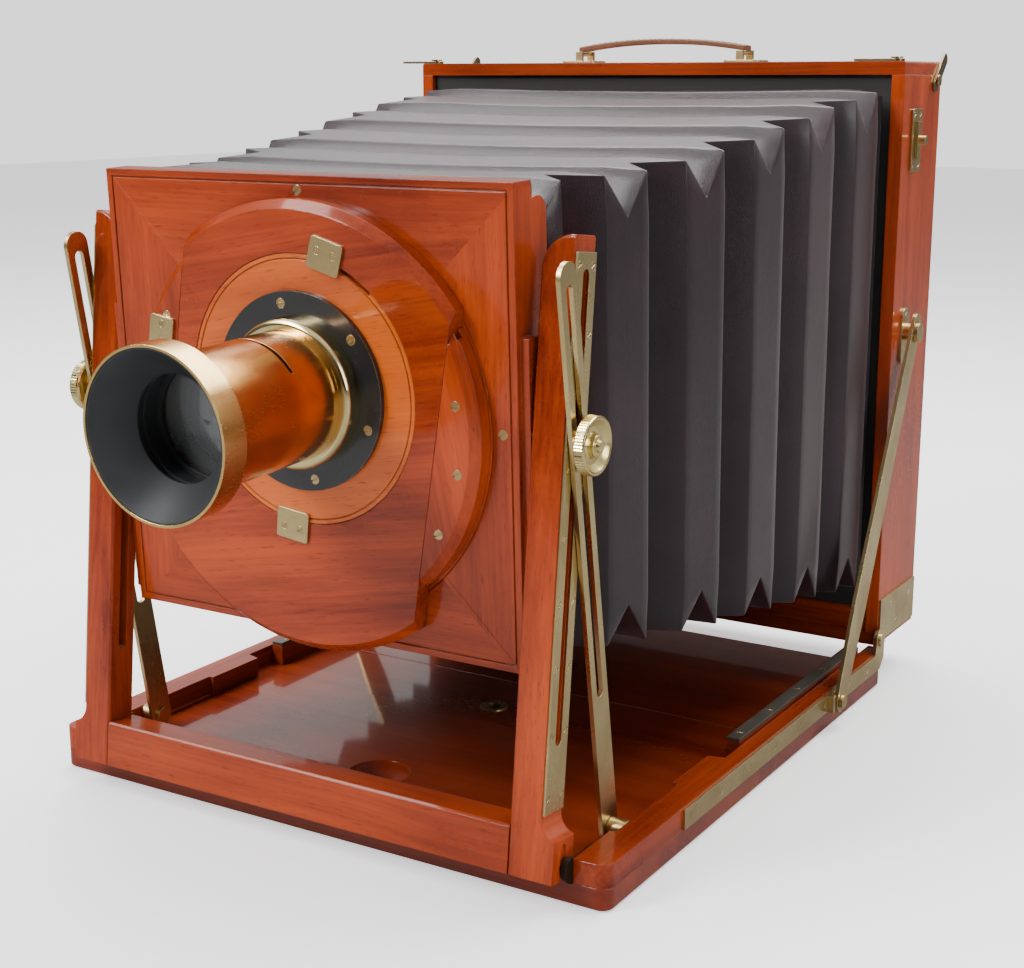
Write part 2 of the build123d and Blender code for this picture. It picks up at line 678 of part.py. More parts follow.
with BuildPart() as turntable:
    disc(turned_plane(panel_front_c), rebate_c + running_gap - panel_front_c, turntable_radius - running_gap)
    disc(turned_plane(rebate_c + running_gap), panel_rear_c - rebate_c - 2 * running_gap,
         rebate_radius - running_gap)
    disc(turned_plane(panel_front_c, opening_along), -2 * panel_thickness, opening_radius,
         mode=Mode.SUBTRACT)
    screw_holes(turned_plane(raised_front_c), cheek_screws, cheek_screw_radius, 18.0)
save(turntable, "turntable")

with BuildPart() as turntable_retainer:
    disc(turned_plane(panel_rear_c - running_gap), -2.5, retainer_radius, 92.0)
save(turntable_retainer, "turntable_retainer")


rim_chamfer = 4.5


def rim_edges(piece):
    """Round front edges of a raised piece."""
    front = turned_plane(raised_front_c)
    return [edge for edge in piece.edges().filter_by(GeomType.CIRCLE)
            if abs(front.to_local_coords(edge @ 0.5).Z) < 0.01]


def cheek(sign):
    """Raised segment beside the sliding board, grooved for the board's tongue."""
    with BuildPart() as segment:
        with BuildSketch(turned_plane(panel_front_c)):
            Circle(cheek_radius)
            with Locations((-sign * (cheek_radius - board_half_width), 0)):
                Rectangle(2 * cheek_radius, 2 * cheek_radius, mode=Mode.SUBTRACT)
        extrude(amount=raised_thickness)
        chamfer(rim_edges(segment), rim_chamfer)
        with BuildSketch(turned_plane(panel_front_c + 4)):
            with Locations((sign * (board_half_width + cheek_groove / 2), 0)):
                Rectangle(cheek_groove, 2 * cheek_radius)
        extrude(amount=4.0, mode=Mode.SUBTRACT)
        screw_holes(turned_plane(raised_front_c), cheek_screws, cheek_screw_radius, 18.0)
        screw_holes(turned_plane(raised_front_c + brass_sheet), cheek_plate_screws, 2.0, 5.0)
    return segment


save_group([cheek(-1), cheek(1)], "cheeks")
with BuildPart() as cheek_plate:
    with BuildSketch(turned_plane(raised_front_c)):
        with Locations(cheek_plate_centre):
            RectangleRounded(16.0, 18.0, 1.5)
    extrude(amount=brass_sheet)
    screw_holes(turned_plane(raised_front_c + brass_sheet), cheek_plate_screws, 2.0, 5.0)
save(cheek_plate, "cheek_plate")
with BuildPart() as turntable_screws:
    add(countersunk_screws(turned_plane(raised_front_c), cheek_screws, cheek_screw_radius, 18.0).part)
    add(countersunk_screws(turned_plane(raised_front_c + brass_sheet), cheek_plate_screws, 2.0, 5.0).part)
save(turntable_screws, "turntable_screws")

# keepers round the lens disc: places in the slide frame, turned about the lens axis
keeper_turns = (6.0, 177.5)
keeper_radius_mid = lens_disc_radius + 1.5
keeper_screw_radius = 2.0


def lens_plane(c, turn=0.0):
    """Plane on the lens axis, rotated clockwise about it by turn degrees."""
    return spun(turned_plane(c, lens_shift), -turn)


def keeper_holes():
    for turn in keeper_turns:
        screw_holes(lens_plane(raised_front_c + brass_sheet, turn), keeper_screws, keeper_screw_radius, 5.0)


keeper_screws = [(-5.0, keeper_radius_mid + 2.6), (5.0, keeper_radius_mid + 2.6)]

with BuildPart() as sliding_board:
    half = board_half_width - running_gap
    with BuildSketch(turned_plane(panel_front_c + running_gap, board_shift)):
        Circle(board_radius)
        Rectangle(2 * half, 2 * board_radius, mode=Mode.INTERSECT)
    extrude(amount=raised_thickness - running_gap)
    chamfer(rim_edges(sliding_board), rim_chamfer)
    with BuildSketch(turned_plane(panel_front_c + 4 + running_gap, board_shift)):
        Rectangle(2 * (half + cheek_groove), 118.0)
    extrude(amount=4.0 - 2 * running_gap)
    disc(lens_plane(panel_front_c), raised_thickness + 1, lens_disc_radius - 9, mode=Mode.SUBTRACT)
    disc(lens_plane(disc_rebate_c), raised_thickness, lens_disc_radius + running_gap, mode=Mode.SUBTRACT)
    keeper_holes()
save(sliding_board, "sliding_board")

with BuildPart() as keeper_plates:
    for turn in keeper_turns:
        with BuildSketch(lens_plane(raised_front_c, turn)):
            with Locations((0, keeper_radius_mid + 1)):
                RectangleRounded(20.0, 16.5, 1.5)
        extrude(amount=brass_sheet)
    keeper_holes()
save(keeper_plates, "keeper_plates")

with BuildPart() as keeper_screws_set:
    for turn in keeper_turns:
        add(countersunk_screws(lens_plane(raised_front_c + brass_sheet, turn), keeper_screws,
                               keeper_screw_radius, 5.0).part)
save(keeper_screws_set, "keeper_screws")

# ================================================================= lens on its round board
flange_thickness = 3.0
flange_c = lens_disc_front_c
flange_front_c = flange_c + flange_thickness
spigot_radius = barrel_radius - 2.0
bore_radius = barrel_radius - 3.5
collar_radius = barrel_radius + 5.0
flange_screw_radius = 2.6
flange_screw_inset = 6.0
flange_screw_ring = flange_radius - flange_screw_inset
flange_screws = [(flange_screw_ring * sin(radians(a)), flange_screw_ring * cos(radians(a)))
                 for a in range(40, 400, 60)]
hood_length = 16.5
hood_wall = 1.4
funnel_rear_c = hood_reach - 18.5    # blackened funnel inside the hood
funnel_rear_radius = 26.5
funnel_wall = 0.9
hood_front_c = hood_reach
hood_rear_c = hood_front_c - hood_length
stop_c = 62.0
barrel_rear_c = -14.0
baffle_rear_c = hood_reach - 38.0
groove_radius = 68.0
notch_turn = 22.0

with BuildPart() as lens_disc:
    disc(lens_plane(disc_rebate_c + running_gap), lens_disc_front_c - disc_rebate_c - running_gap,
         lens_disc_radius)
    disc(lens_plane(panel_front_c + 2 * running_gap), disc_rebate_c - panel_front_c - running_gap,
         lens_disc_radius - 9 - running_gap)
    disc(lens_plane(panel_front_c), raised_thickness, spigot_radius, mode=Mode.SUBTRACT)
    disc(lens_plane(lens_disc_front_c), -0.7, groove_radius + 0.35, groove_radius - 0.35, mode=Mode.SUBTRACT)
    # notch in the rim that lets the disc past a keeper
    with BuildSketch(lens_plane(lens_disc_front_c, notch_turn)):
        with Locations((0, lens_disc_radius)):
            Rectangle(22.0, 5.0)
    extrude(amount=-4.0, mode=Mode.SUBTRACT)
    screw_holes(lens_plane(flange_front_c), flange_screws, flange_screw_radius, 5.0)
save(lens_disc, "lens_disc")

with BuildPart() as lens_flange:
    disc(lens_plane(flange_c), flange_thickness, flange_radius, spigot_radius)
    screw_holes(lens_plane(flange_front_c), flange_screws, flange_screw_radius, 5.0)
save(lens_flange, "lens_flange")

with BuildPart() as flange_screws_set:
    add(countersunk_screws(lens_plane(flange_front_c), flange_screws, flange_screw_radius, 5.0).part)
save(flange_screws_set, "flange_screws")

with BuildPart() as lens_barrel:
    disc(lens_plane(barrel_rear_c), flange_front_c - barrel_rear_c, spigot_radius, bore_radius)
    disc(lens_plane(flange_front_c), hood_rear_c + 1 - flange_front_c, barrel_radius, bore_radius)
    # slot for the drop-in stops, across the top of the barrel
    with BuildSketch(lens_plane(stop_c)):
        with Locations((0, barrel_radius)):
            Rectangle(48.0, 40.0)
    extrude(amount=2.4, mode=Mode.SUBTRACT)
save(lens_barrel, "lens_barrel")

with BuildPart() as lens_collar:
    disc(lens_plane(flange_front_c), 10.0, collar_radius, barrel_radius)
    fillet(lens_collar.edges().filter_by(GeomType.CIRCLE).group_by(SortBy.LENGTH)[-1].sort_by(Axis.Y)[0], 3.0)
save(lens_collar, "lens_collar")

with BuildPart() as lens_hood:
    disc(lens_plane(hood_rear_c), 2.0, hood_radius - 1.2, barrel_radius)
    disc(lens_plane(hood_rear_c + 1), hood_length - 1, hood_radius, hood_radius - hood_wall)
save(lens_hood, "lens_hood")

with BuildPart() as lens_baffles:
    disc(lens_plane(baffle_rear_c), funnel_rear_c - 1 - baffle_rear_c, bore_radius, bore_radius - 1.2)
    disc(lens_plane(baffle_rear_c), 2.0, bore_radius, bore_radius - 3.4)
    disc(lens_plane(funnel_rear_c - 7), 1.2, bore_radius, bore_radius - 2.8)
    disc(lens_plane(funnel_rear_c - 1), 1.0, bore_radius, funnel_rear_radius)
    funnel_plane = lens_plane(funnel_rear_c)
    funnel_front = hood_front_c - 0.5 - funnel_rear_c
    funnel_front_radius = hood_radius - hood_wall
    with BuildSketch(Plane(origin=funnel_plane.origin, x_dir=funnel_plane.x_dir, z_dir=-funnel_plane.y_dir)):
        with BuildLine():
            Polyline((funnel_rear_radius, 0), (funnel_front_radius - funnel_wall, funnel_front),
                     (funnel_front_radius, funnel_front), (funnel_rear_radius + funnel_wall, 0), close=True)
        make_face()
    revolve(axis=Axis(funnel_plane.origin, funnel_plane.z_dir))

with BuildPart() as stop_plate:
    disc(lens_plane(stop_c), 2.0, bore_radius, 12.0)
save_group([lens_baffles, stop_plate], "lens_baffles")


def lens_group(near, far, sag, radius):
    """One cemented glass: a thick lens with bulging faces, held in the barrel bore."""
    plane = lens_plane(near)
    section = Plane(origin=plane.origin, x_dir=plane.x_dir, z_dir=-plane.y_dir)
    with BuildPart() as glass:
        with BuildSketch(section):
            with BuildLine():
                Line((0, -sag), (0, far - near + sag))
                RadiusArc((0, far - near + sag), (radius, far - near), (radius ** 2 + sag ** 2) / (2 * sag))
                Line((radius, far - near), (radius, 0))
                RadiusArc((radius, 0), (0, -sag), (radius ** 2 + sag ** 2) / (2 * sag))
            make_face()
        revolve(axis=Axis(plane.origin, plane.z_dir))
    return glass


glass_sag = 2.8
front_glass = lens_group(baffle_rear_c - 9, baffle_rear_c - glass_sag, glass_sag, bore_radius)
rear_glass = lens_group(barrel_rear_c + 4, barrel_rear_c + 10, glass_sag, bore_radius)
save_group([front_glass, rear_glass], "lens_glasses")

# ================================================================= back box
box_side_z = (box_bottom_z + box_wall, box_top_z - box_wall)
box_ys = (box_front_y, box_rear_y)
with BuildPart() as box_bottom_board:
    block((-box_half_width, box_half_width), box_ys, (box_bottom_z, box_side_z[0]))
save(box_bottom_board, "box_bottom_board")
bellows_frame_y = (box_front_y + 4, box_front_y + 12)
with BuildPart() as bellows_rear_frame:
    block((-box_inner_x, box_inner_x), bellows_frame_y, box_side_z)
    block((-150, 150), bellows_frame_y, (box_side_z[0] + 38, box_side_z[1] - 24), mode=Mode.SUBTRACT)
save(bellows_rear_frame, "bellows_rear_frame")
with BuildPart() as box_ledge:
    block((-box_inner_x, box_inner_x), (box_front_y + 1, bellows_frame_y[0]),
          (box_side_z[0], box_side_z[0] + 16))
    chamfer(box_ledge.edges().filter_by(Axis.X).group_by(Axis.Z)[-1].sort_by(Axis.Y)[0], 1.5)
save(box_ledge, "box_ledge")

bellows_wall = 2.0
with BuildPart() as bellows:
    with BuildSketch(panel_plane(bellows_start_c)):
        with Locations((0, panel_mid_b)):
            Rectangle(2 * 124.0, 236.0)
    with BuildSketch(Plane(origin=(0, bellows_frame_y[0], 0), x_dir=(1, 0, 0), z_dir=(0, -1, 0))):
        with Locations((0, 231.0)):
            Rectangle(2 * 167.0, 324.0)
    loft()
    with BuildSketch(panel_plane(bellows_start_c)):
        with Locations((0, panel_mid_b)):
            Rectangle(2 * (124.0 - bellows_wall), 236.0 - 2 * bellows_wall)
    with BuildSketch(Plane(origin=(0, bellows_frame_y[0], 0), x_dir=(1, 0, 0), z_dir=(0, -1, 0))):
        with Locations((0, 231.0)):
            Rectangle(2 * (167.0 - bellows_wall), 324.0 - 2 * bellows_wall)
    loft(mode=Mode.SUBTRACT)
save(bellows, "bellows")

# brass furniture on the sides of the box
corner_plate_y = (box_front_y + 1.5, box_rear_y - 2.0)
corner_plate_z = (box_bottom_z + 3.0, box_bottom_z + 32.0)
box_screw_radius = 2.0
box_face_x = box_half_width + brass_sheet
clamp_plate_z = (stay_top[1] - 22.0, stay_top[1] + 16.0)
bolt_plate_y = (box_front_y + 16, box_front_y + 34)
bolt_plate_z = (344.0, 384.0)
corner_screws = [(corner_plate_y[0] + 20, corner_plate_z[1] - 5), (corner_plate_y[0] + 30, corner_plate_z[0] + 8),
                 (corner_plate_y[1] - 12, corner_plate_z[1] - 8)]
clamp_screws = [(stay_top[0], clamp_plate_z[0] + 5), (stay_top[0], clamp_plate_z[1] - 4)]
bolt_screws = [(y, z) for y in (bolt_plate_y[0] + 3.5, bolt_plate_y[1] - 3.5)
               for z in (bolt_plate_z[0] + 4, bolt_plate_z[1] - 4)]
back_catch_pivot = (box_rear_y - 10.0, box_top_z - 12.0)
box_side_screws = corner_screws + clamp_screws + bolt_screws


def box_side_holes(sign):
    outer_plane = side_plane(sign * box_face_x, facing=sign)
    screw_holes(outer_plane, [(sign * y, z) for y, z in box_side_screws], box_screw_radius, 4.0)


with BuildPart() as box_side_plates:
    for sign in (-1, 1):
        face = side_plane(sign * box_half_width, facing=sign)
        with BuildSketch(face):
            with Locations((sign * hinge_pin_y, hinge_pin_z)):
                Circle(6.5)
            with Locations((sign * sum(corner_plate_y) / 2, sum(corner_plate_z) / 2)):
                Rectangle(corner_plate_y[1] - corner_plate_y[0], corner_plate_z[1] - corner_plate_z[0])
            with Locations((sign * hinge_pin_y, hinge_pin_z)):
                Circle(hinge_pin_radius + pin_clearance, mode=Mode.SUBTRACT)
            with Locations((sign * stay_top[0], sum(clamp_plate_z) / 2)):
                SlotOverall(clamp_plate_z[1] - clamp_plate_z[0], 14.0, rotation=90)
            with Locations((sign * sum(bolt_plate_y) / 2, sum(bolt_plate_z) / 2)):
                RectangleRounded(bolt_plate_y[1] - bolt_plate_y[0], bolt_plate_z[1] - bolt_plate_z[0], 2.0)
        extrude(amount=brass_sheet)
        outer_plane = side_plane(sign * box_face_x, facing=sign)
        screw_holes(outer_plane, [(sign * y, z) for y, z in box_side_screws], box_screw_radius, 4.0)
save(box_side_plates, "box_side_plates")

box_sides = []
for sign in (-1, 1):
    with BuildPart() as box_side_board:
        block(sorted((sign * box_inner_x, sign * box_half_width)), box_ys, box_side_z)
        box_side_holes(sign)
        disc(side_plane(sign * box_half_width, back_catch_pivot[0], back_catch_pivot[1], sign), -5.0,
             stay_pin_radius, mode=Mode.SUBTRACT)
    box_sides.append(box_side_board)
save_group(box_sides, "box_sides")

stay_screw_radius = 2.5
with BuildPart() as stay_clamps:
    for sign in (-1, 1):
        place = (sign * stay_top[0], stay_top[1])
        face = side_plane(sign * box_face_x, facing=sign)
        disc(face, stay_x - running_gap - box_face_x, 6.0, at=place)
        disc(face, stay_x + brass_bar + running_gap - box_face_x, stay_screw_radius, at=place)
        disc(side_plane(sign * (stay_x + brass_bar + running_gap), facing=sign), 2.6, 6.6, at=place)
save(stay_clamps, "stay_clamps")


def back_stay(sign):
    """Flat tapering bar bracing the box, with a short slot at its upper clamp."""
    face = side_plane(sign * stay_x, stay_foot[0], stay_foot[1], sign)
    span = (stay_top[0] - stay_foot[0], stay_top[1] - stay_foot[1])
    length = (span[0] ** 2 + span[1] ** 2) ** 0.5
    lean_back = degrees(atan2(span[0], span[1]))
    along = spun(face, -sign * lean_back)
    with BuildPart() as bar:
        with BuildSketch(along):
            Circle(7.2)
            with Locations((0, 60)):
                Circle(10.5)
            with Locations((0, length + 6)):
                Circle(7.0)
            make_hull()
            Circle(stay_pin_radius + pin_clearance, mode=Mode.SUBTRACT)
            with Locations((0, length + 0.6)):
                SlotOverall(2 * stay_screw_radius + 9.0, 2 * stay_screw_radius + 0.9, rotation=90,
                            mode=Mode.SUBTRACT)
        extrude(amount=brass_bar)
    return bar


save_group([back_stay(-1), back_stay(1)], "back_stays")

# sliding bolt that locks the lid of a folded camera, one each side
bolt_mid_y = sum(bolt_plate_y) / 2
for sign, name in ((-1, "left_side_bolt"), (1, "right_side_bolt")):
    with BuildPart() as side_bolt:
        xs = sorted((sign * (box_face_x + 0.1), sign * (box_face_x + 1.9)))
        block(xs, (bolt_mid_y - 3, bolt_mid_y + 3), (352.0, 376.0))
        disc(side_plane(sign * (box_face_x + 1.9), facing=sign), 4.5, 3.2, at=(sign * bolt_mid_y, 364.0))
    save(side_bolt, name)

# ================================================================= handle and catches
handle_x = -4.5
handle_y = box_front_y + 36.0
handle_half = 62.0
top_screw_radius = 2.2
handle_screws = [(handle_x + side * (handle_half + dx), handle_y + dy)
                 for side in (-1, 1) for dx, dy in ((8, 0), (-6, -5.5), (-6, 5.5))]
catch_pivots = {side: (side * (box_half_width - 8.0), box_front_y + 6.5) for side in (-1, 1)}
with BuildPart() as handle_plates:
    for side in (-1, 1):
        with BuildSketch(Plane.XY.offset(box_top_z)):
            with Locations((handle_x + side * (handle_half + 1), handle_y)):
                RectangleRounded(26.0, 20.0, 3.0)
        extrude(amount=brass_sheet)
        xs = sorted((handle_x + side * (handle_half - 2.5), handle_x + side * (handle_half + 2.5)))
        block(xs, (handle_y - 9.5, handle_y - 7), (box_top_z + brass_sheet, box_top_z + 8))
        block(xs, (handle_y + 7, handle_y + 9.5), (box_top_z + brass_sheet, box_top_z + 8))
    for side in (-1, 1):
        # cross bar the strap loops round
        bar = Plane(origin=(handle_x + side * handle_half, handle_y - 9.5, box_top_z + 6), x_dir=(1, 0, 0),
                    z_dir=(0, 1, 0))
        disc(bar, 19.0, 1.5)
    screw_holes(Plane.XY.offset(box_top_z + brass_sheet), handle_screws, top_screw_radius, 4.0)
save(handle_plates, "handle_plates")

strap_thickness = 3.4
strap_rise = 5.0
strap_width = 12.8
strap_end_x = handle_half + 2.0
handle_bar_z = box_top_z + 6.0
with BuildPart() as handle_strap:
    foot_z = handle_bar_z + 1.6
    with BuildSketch(Plane(origin=(handle_x, handle_y - strap_width / 2, 0), x_dir=(1, 0, 0), z_dir=(0, -1, 0))):
        with BuildLine():
            ThreePointArc((-strap_end_x, foot_z), (0, foot_z + strap_rise), (strap_end_x, foot_z))
            Line((strap_end_x, foot_z), (strap_end_x, foot_z + strap_thickness))
            ThreePointArc((strap_end_x, foot_z + strap_thickness), (0, foot_z + strap_rise + strap_thickness),
                          (-strap_end_x, foot_z + strap_thickness))
            Line((-strap_end_x, foot_z + strap_thickness), (-strap_end_x, foot_z))
        make_face()
    extrude(amount=-strap_width)
save(handle_strap, "handle_strap")


def front_catch(sign, turn, name):
    """Flat leaf turning on a screw at the front edge of the box top."""
    place = spun(Plane(origin=(*catch_pivots[sign], box_top_z + 0.1)), turn)
    with BuildPart() as leaf:
        with BuildSketch(place):
            SlotCenterToCenter(1.0, 9.0)
            with Locations((13.5, 0)):
                Rectangle(27.0, 9.0)
        extrude(amount=brass_sheet)
        disc(place, brass_sheet, stay_pin_radius + pin_clearance, mode=Mode.SUBTRACT)
    save(leaf, name)


front_catch(-1, 180.0, "left_front_catch")
front_catch(1, 180.0, "right_front_catch")


# diagonal catches that hold the focusing back shut
def back_catch(sign, name):
    """Turn button on the side of the box, hooking over its rear top corner."""
    face = side_plane(sign * (box_half_width + 0.1), back_catch_pivot[0], back_catch_pivot[1], sign)
    diagonal = spun(face, -sign * 45.0)
    with BuildPart() as button:
        with BuildSketch(diagonal):
            with Locations((0, 7.0)):
                SlotCenterToCenter(24.0, 8.0, rotation=90)
        extrude(amount=brass_sheet)
        disc(diagonal, brass_sheet, stay_pin_radius + pin_clearance, mode=Mode.SUBTRACT)
    save(button, name)


back_catch(-1, "left_back_catch")
back_catch(1, "right_back_catch")

with BuildPart() as box_screws:
    for sign in (-1, 1):
        top = Plane(origin=(*catch_pivots[sign], box_top_z))
        disc(top, brass_sheet + 0.4, stay_pin_radius)
        disc(top, -5.0, stay_pin_radius)
        disc(top.offset(brass_sheet + 0.4), 1.0, 3.8)
        face = side_plane(sign * box_half_width, back_catch_pivot[0], back_catch_pivot[1], sign)
        disc(face, brass_sheet + 0.4, stay_pin_radius)
        disc(face, -5.0, stay_pin_radius)
        disc(face.offset(brass_sheet + 0.4), 1.0, 3.8)
        places = [(sign * y, z) for y, z in box_side_screws]
        add(countersunk_screws(side_plane(sign * box_face_x, facing=sign), places, box_screw_radius, 4.0).part)
    add(countersunk_screws(Plane.XY.offset(box_top_z + brass_sheet), handle_screws, top_screw_radius, 4.0).part)
save(box_screws, "box_screws")

with BuildPart() as box_top_board:
    block((-box_half_width, box_half_width), box_ys, (box_side_z[1], box_top_z))
    fillet(box_top_board.edges().filter_by(Axis.Y).group_by(Axis.Z)[-1], 1.5)
    screw_holes(Plane.XY.offset(box_top_z + brass_sheet), handle_screws, top_screw_radius, 4.0)
    for sign in (-1, 1):
        disc(Plane(origin=(*catch_pivots[sign], box_top_z)), -5.0, stay_pin_radius, mode=Mode.SUBTRACT)
save(box_top_board, "box_top_board")

# ================================================================= focusing back
screen_half = box_inner_x - 0.5
screen_z = (box_side_z[0] + 0.4, box_side_z[1] - 0.5)
screen_mid_z = (screen_z[0] + screen_z[1]) / 2
screen_ys = (screen_front_y, box_rear_y)
glass_lap = 4.0
glass_thickness = 2.5
open_half_x = plate_width / 2 - glass_lap
open_half_z = plate_height / 2 - glass_lap
glass_y = (screen_front_y + 1.5, screen_front_y + 1.5 + glass_thickness)


def glass_rebate():
    block((-plate_width / 2, plate_width / 2), (screen_front_y, glass_y[1]),
          (screen_mid_z - plate_height / 2, screen_mid_z + plate_height / 2), mode=Mode.SUBTRACT)


with BuildPart() as screen_rails:
    block((-screen_half, screen_half), screen_ys, (screen_z[0], screen_mid_z - open_half_z))
    block((-screen_half, screen_half), screen_ys, (screen_mid_z + open_half_z, screen_z[1]))
    glass_rebate()
with BuildPart() as screen_stiles:
    zs = (screen_mid_z - open_half_z, screen_mid_z + open_half_z)
    block((-screen_half, -open_half_x), screen_ys, zs)
    block((open_half_x, screen_half), screen_ys, zs)
    glass_rebate()
save_group([screen_rails, screen_stiles], "screen_frame")
with BuildPart() as ground_glass:
    block((-plate_width / 2 + running_gap, plate_width / 2 - running_gap), glass_y,
          (screen_mid_z - plate_height / 2 + running_gap, screen_mid_z + plate_height / 2 - running_gap))
save(ground_glass, "ground_glass")
with BuildPart() as glass_clips:
    for sx in (-1, 1):
        for sz in (-1, 1):
            xs = sorted((sx * (plate_width / 2 - 7), sx * (plate_width / 2 + 9)))
            zs = sorted((screen_mid_z + sz * (plate_height / 2 - 20),
                         screen_mid_z + sz * (plate_height / 2 - 10)))
            block(xs, (screen_front_y - 1.0, screen_front_y), zs)
            tip = sorted((sx * (plate_width / 2 - 7), sx * (plate_width / 2 - 1)))
            block(tip, (screen_front_y, glass_y[0]), zs)
save(glass_clips, "glass_clips")

hinge_knuckle_radius = 2.6
screen_hinge_x = 120.0
knuckle_y = box_rear_y + hinge_knuckle_radius + running_gap
knuckle_z = box_side_z[0]
hinge_half = 18.0
with BuildPart() as screen_hinge_leaves:
    for side in (-1, 1):
        mid = side * screen_hinge_x
        block((mid - hinge_half, mid + hinge_half), (box_rear_y, box_rear_y + 1.2),
              (box_bottom_z + 0.5, knuckle_z - 3.2))
        for x0 in (mid - hinge_half, mid + 6):
            barrel = Plane(origin=(x0, knuckle_y, knuckle_z), x_dir=(0, 1, 0), z_dir=(1, 0, 0))
            disc(barrel, hinge_half - 6, hinge_knuckle_radius)
            block((x0, x0 + hinge_half - 6), (box_rear_y, box_rear_y + 1.2), (knuckle_z - 3.4, knuckle_z - 0.6))
        pin = Plane(origin=(mid - hinge_half, knuckle_y, knuckle_z), x_dir=(0, 1, 0), z_dir=(1, 0, 0))
        disc(pin, 2 * hinge_half, 1.2)
save(screen_hinge_leaves, "screen_hinge_leaves")
with BuildPart() as screen_hinge_tongues:
    for side in (-1, 1):
        mid = side * screen_hinge_x
        block((mid - hinge_half, mid + hinge_half), (box_rear_y, box_rear_y + 1.2),
              (knuckle_z + 3.2, knuckle_z + 14))
        block((mid - 5.7, mid + 5.7), (box_rear_y, box_rear_y + 1.2), (knuckle_z + 1.0, knuckle_z + 4))
        barrel = Plane(origin=(mid - 5.7, knuckle_y, knuckle_z), x_dir=(0, 1, 0), z_dir=(1, 0, 0))
        disc(barrel, 11.4, hinge_knuckle_radius)
        disc(barrel, 11.4, 1.2 + pin_clearance, mode=Mode.SUBTRACT)
save(screen_hinge_tongues, "screen_hinge_tongues")
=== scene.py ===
"""Folding mahogany field camera: finishes, pleated bellows, clamping wheels, carrying strap and stage."""
import json
import math

import bpy
from bpy.props import FloatProperty, FloatVectorProperty, IntProperty
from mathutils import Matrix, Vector, noise


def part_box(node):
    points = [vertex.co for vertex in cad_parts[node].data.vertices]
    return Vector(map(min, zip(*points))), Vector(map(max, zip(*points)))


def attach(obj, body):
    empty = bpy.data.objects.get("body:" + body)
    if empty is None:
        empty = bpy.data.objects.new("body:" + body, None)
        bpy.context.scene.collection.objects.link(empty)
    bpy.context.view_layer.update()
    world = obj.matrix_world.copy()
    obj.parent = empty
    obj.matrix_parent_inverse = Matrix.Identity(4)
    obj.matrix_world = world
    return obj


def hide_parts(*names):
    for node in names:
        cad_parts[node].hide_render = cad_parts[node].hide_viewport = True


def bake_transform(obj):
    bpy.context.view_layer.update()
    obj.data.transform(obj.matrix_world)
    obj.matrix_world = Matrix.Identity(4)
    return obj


bl_info = {
    "name": "Field camera finisher",
    "version": (1, 0, 0),
    "blender": (4, 5, 0),
    "location": "View3D > Sidebar > Field camera",
    "description": "Finishes the packed folding field camera: wood, brass, leather, bellows, strap and stage",
    "category": "Object",
}

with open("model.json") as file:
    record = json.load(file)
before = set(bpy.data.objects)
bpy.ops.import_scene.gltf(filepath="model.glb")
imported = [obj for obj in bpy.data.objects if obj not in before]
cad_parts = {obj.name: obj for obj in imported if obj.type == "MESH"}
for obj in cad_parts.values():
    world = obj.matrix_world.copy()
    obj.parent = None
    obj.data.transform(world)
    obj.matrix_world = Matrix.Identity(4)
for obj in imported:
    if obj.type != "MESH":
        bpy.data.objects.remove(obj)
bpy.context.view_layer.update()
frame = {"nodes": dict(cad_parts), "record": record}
NODES = frame["nodes"]

# ------------------------------------------------------------------ places read from the frame
STATED_JOINTS = {joint["name"]: joint for joint in frame["record"]["behaviour"]["joints"]}
STUD = Vector(STATED_JOINTS["panel_swing"]["pos_m"])
SLIDE_AXIS = Vector(STATED_JOINTS["board_slide"]["axis"]).normalized()
MITRE_DROP = 0.0015  # the mitres meet this far below the studs
MITRE_EDGE = 0.006


# ------------------------------------------------------------------ what a user would change
class FinishSettings(bpy.types.PropertyGroup):
    """Colours of the camera's woods, metals and leathers."""

    wood_light: FloatVectorProperty(name="Wood, light", description="Lightest tone of the polished wood",
                                    default=(0.41, 0.052, 0.0068), size=3, subtype="COLOR", min=0, max=1)
    wood_dark: FloatVectorProperty(name="Wood, dark", description="Darkest tone of the polished wood",
                                   default=(0.105, 0.0075, 0.0016), size=3, subtype="COLOR", min=0, max=1)
    disc_light: FloatVectorProperty(name="Lens disc, light", description="Light tone of the round lens board",
                                    default=(0.56, 0.115, 0.012), size=3, subtype="COLOR", min=0, max=1)
    disc_dark: FloatVectorProperty(name="Lens disc, dark", description="Dark tone of the round lens board",
                                   default=(0.30, 0.040, 0.005), size=3, subtype="COLOR", min=0, max=1)
    brass_bright: FloatVectorProperty(name="Brass, bright", description="Clean brass",
                                      default=(0.72, 0.56, 0.27), size=3, subtype="COLOR", min=0, max=1)
    brass_aged: FloatVectorProperty(name="Brass, aged", description="Brass where its lacquer has gone brown",
                                    default=(0.34, 0.235, 0.10), size=3, subtype="COLOR", min=0, max=1)
    leather: FloatVectorProperty(name="Bellows leather", description="Colour of the bellows leather",
                                 default=(0.015, 0.0052, 0.0084), size=3, subtype="COLOR", min=0, max=1)
    coat: FloatProperty(name="Polish", description="Strength of the polish over the wood", default=0.55,
                        min=0, max=1, subtype="FACTOR")


class BellowsSettings(bpy.types.PropertyGroup):
    """Sizes of the pleats."""

    pitch: FloatProperty(name="Pleat pitch", description="Distance between like folds", default=0.066,
                         min=0.02, max=0.12, unit="LENGTH")
    depth: FloatProperty(name="Pleat depth", description="How far a fold goes in", default=0.0235,
                         min=0.005, max=0.04, unit="LENGTH")
    leather: FloatProperty(name="Leather", description="Thickness of leather and lining", default=0.0012,
                           min=0.0005, max=0.004, unit="LENGTH")


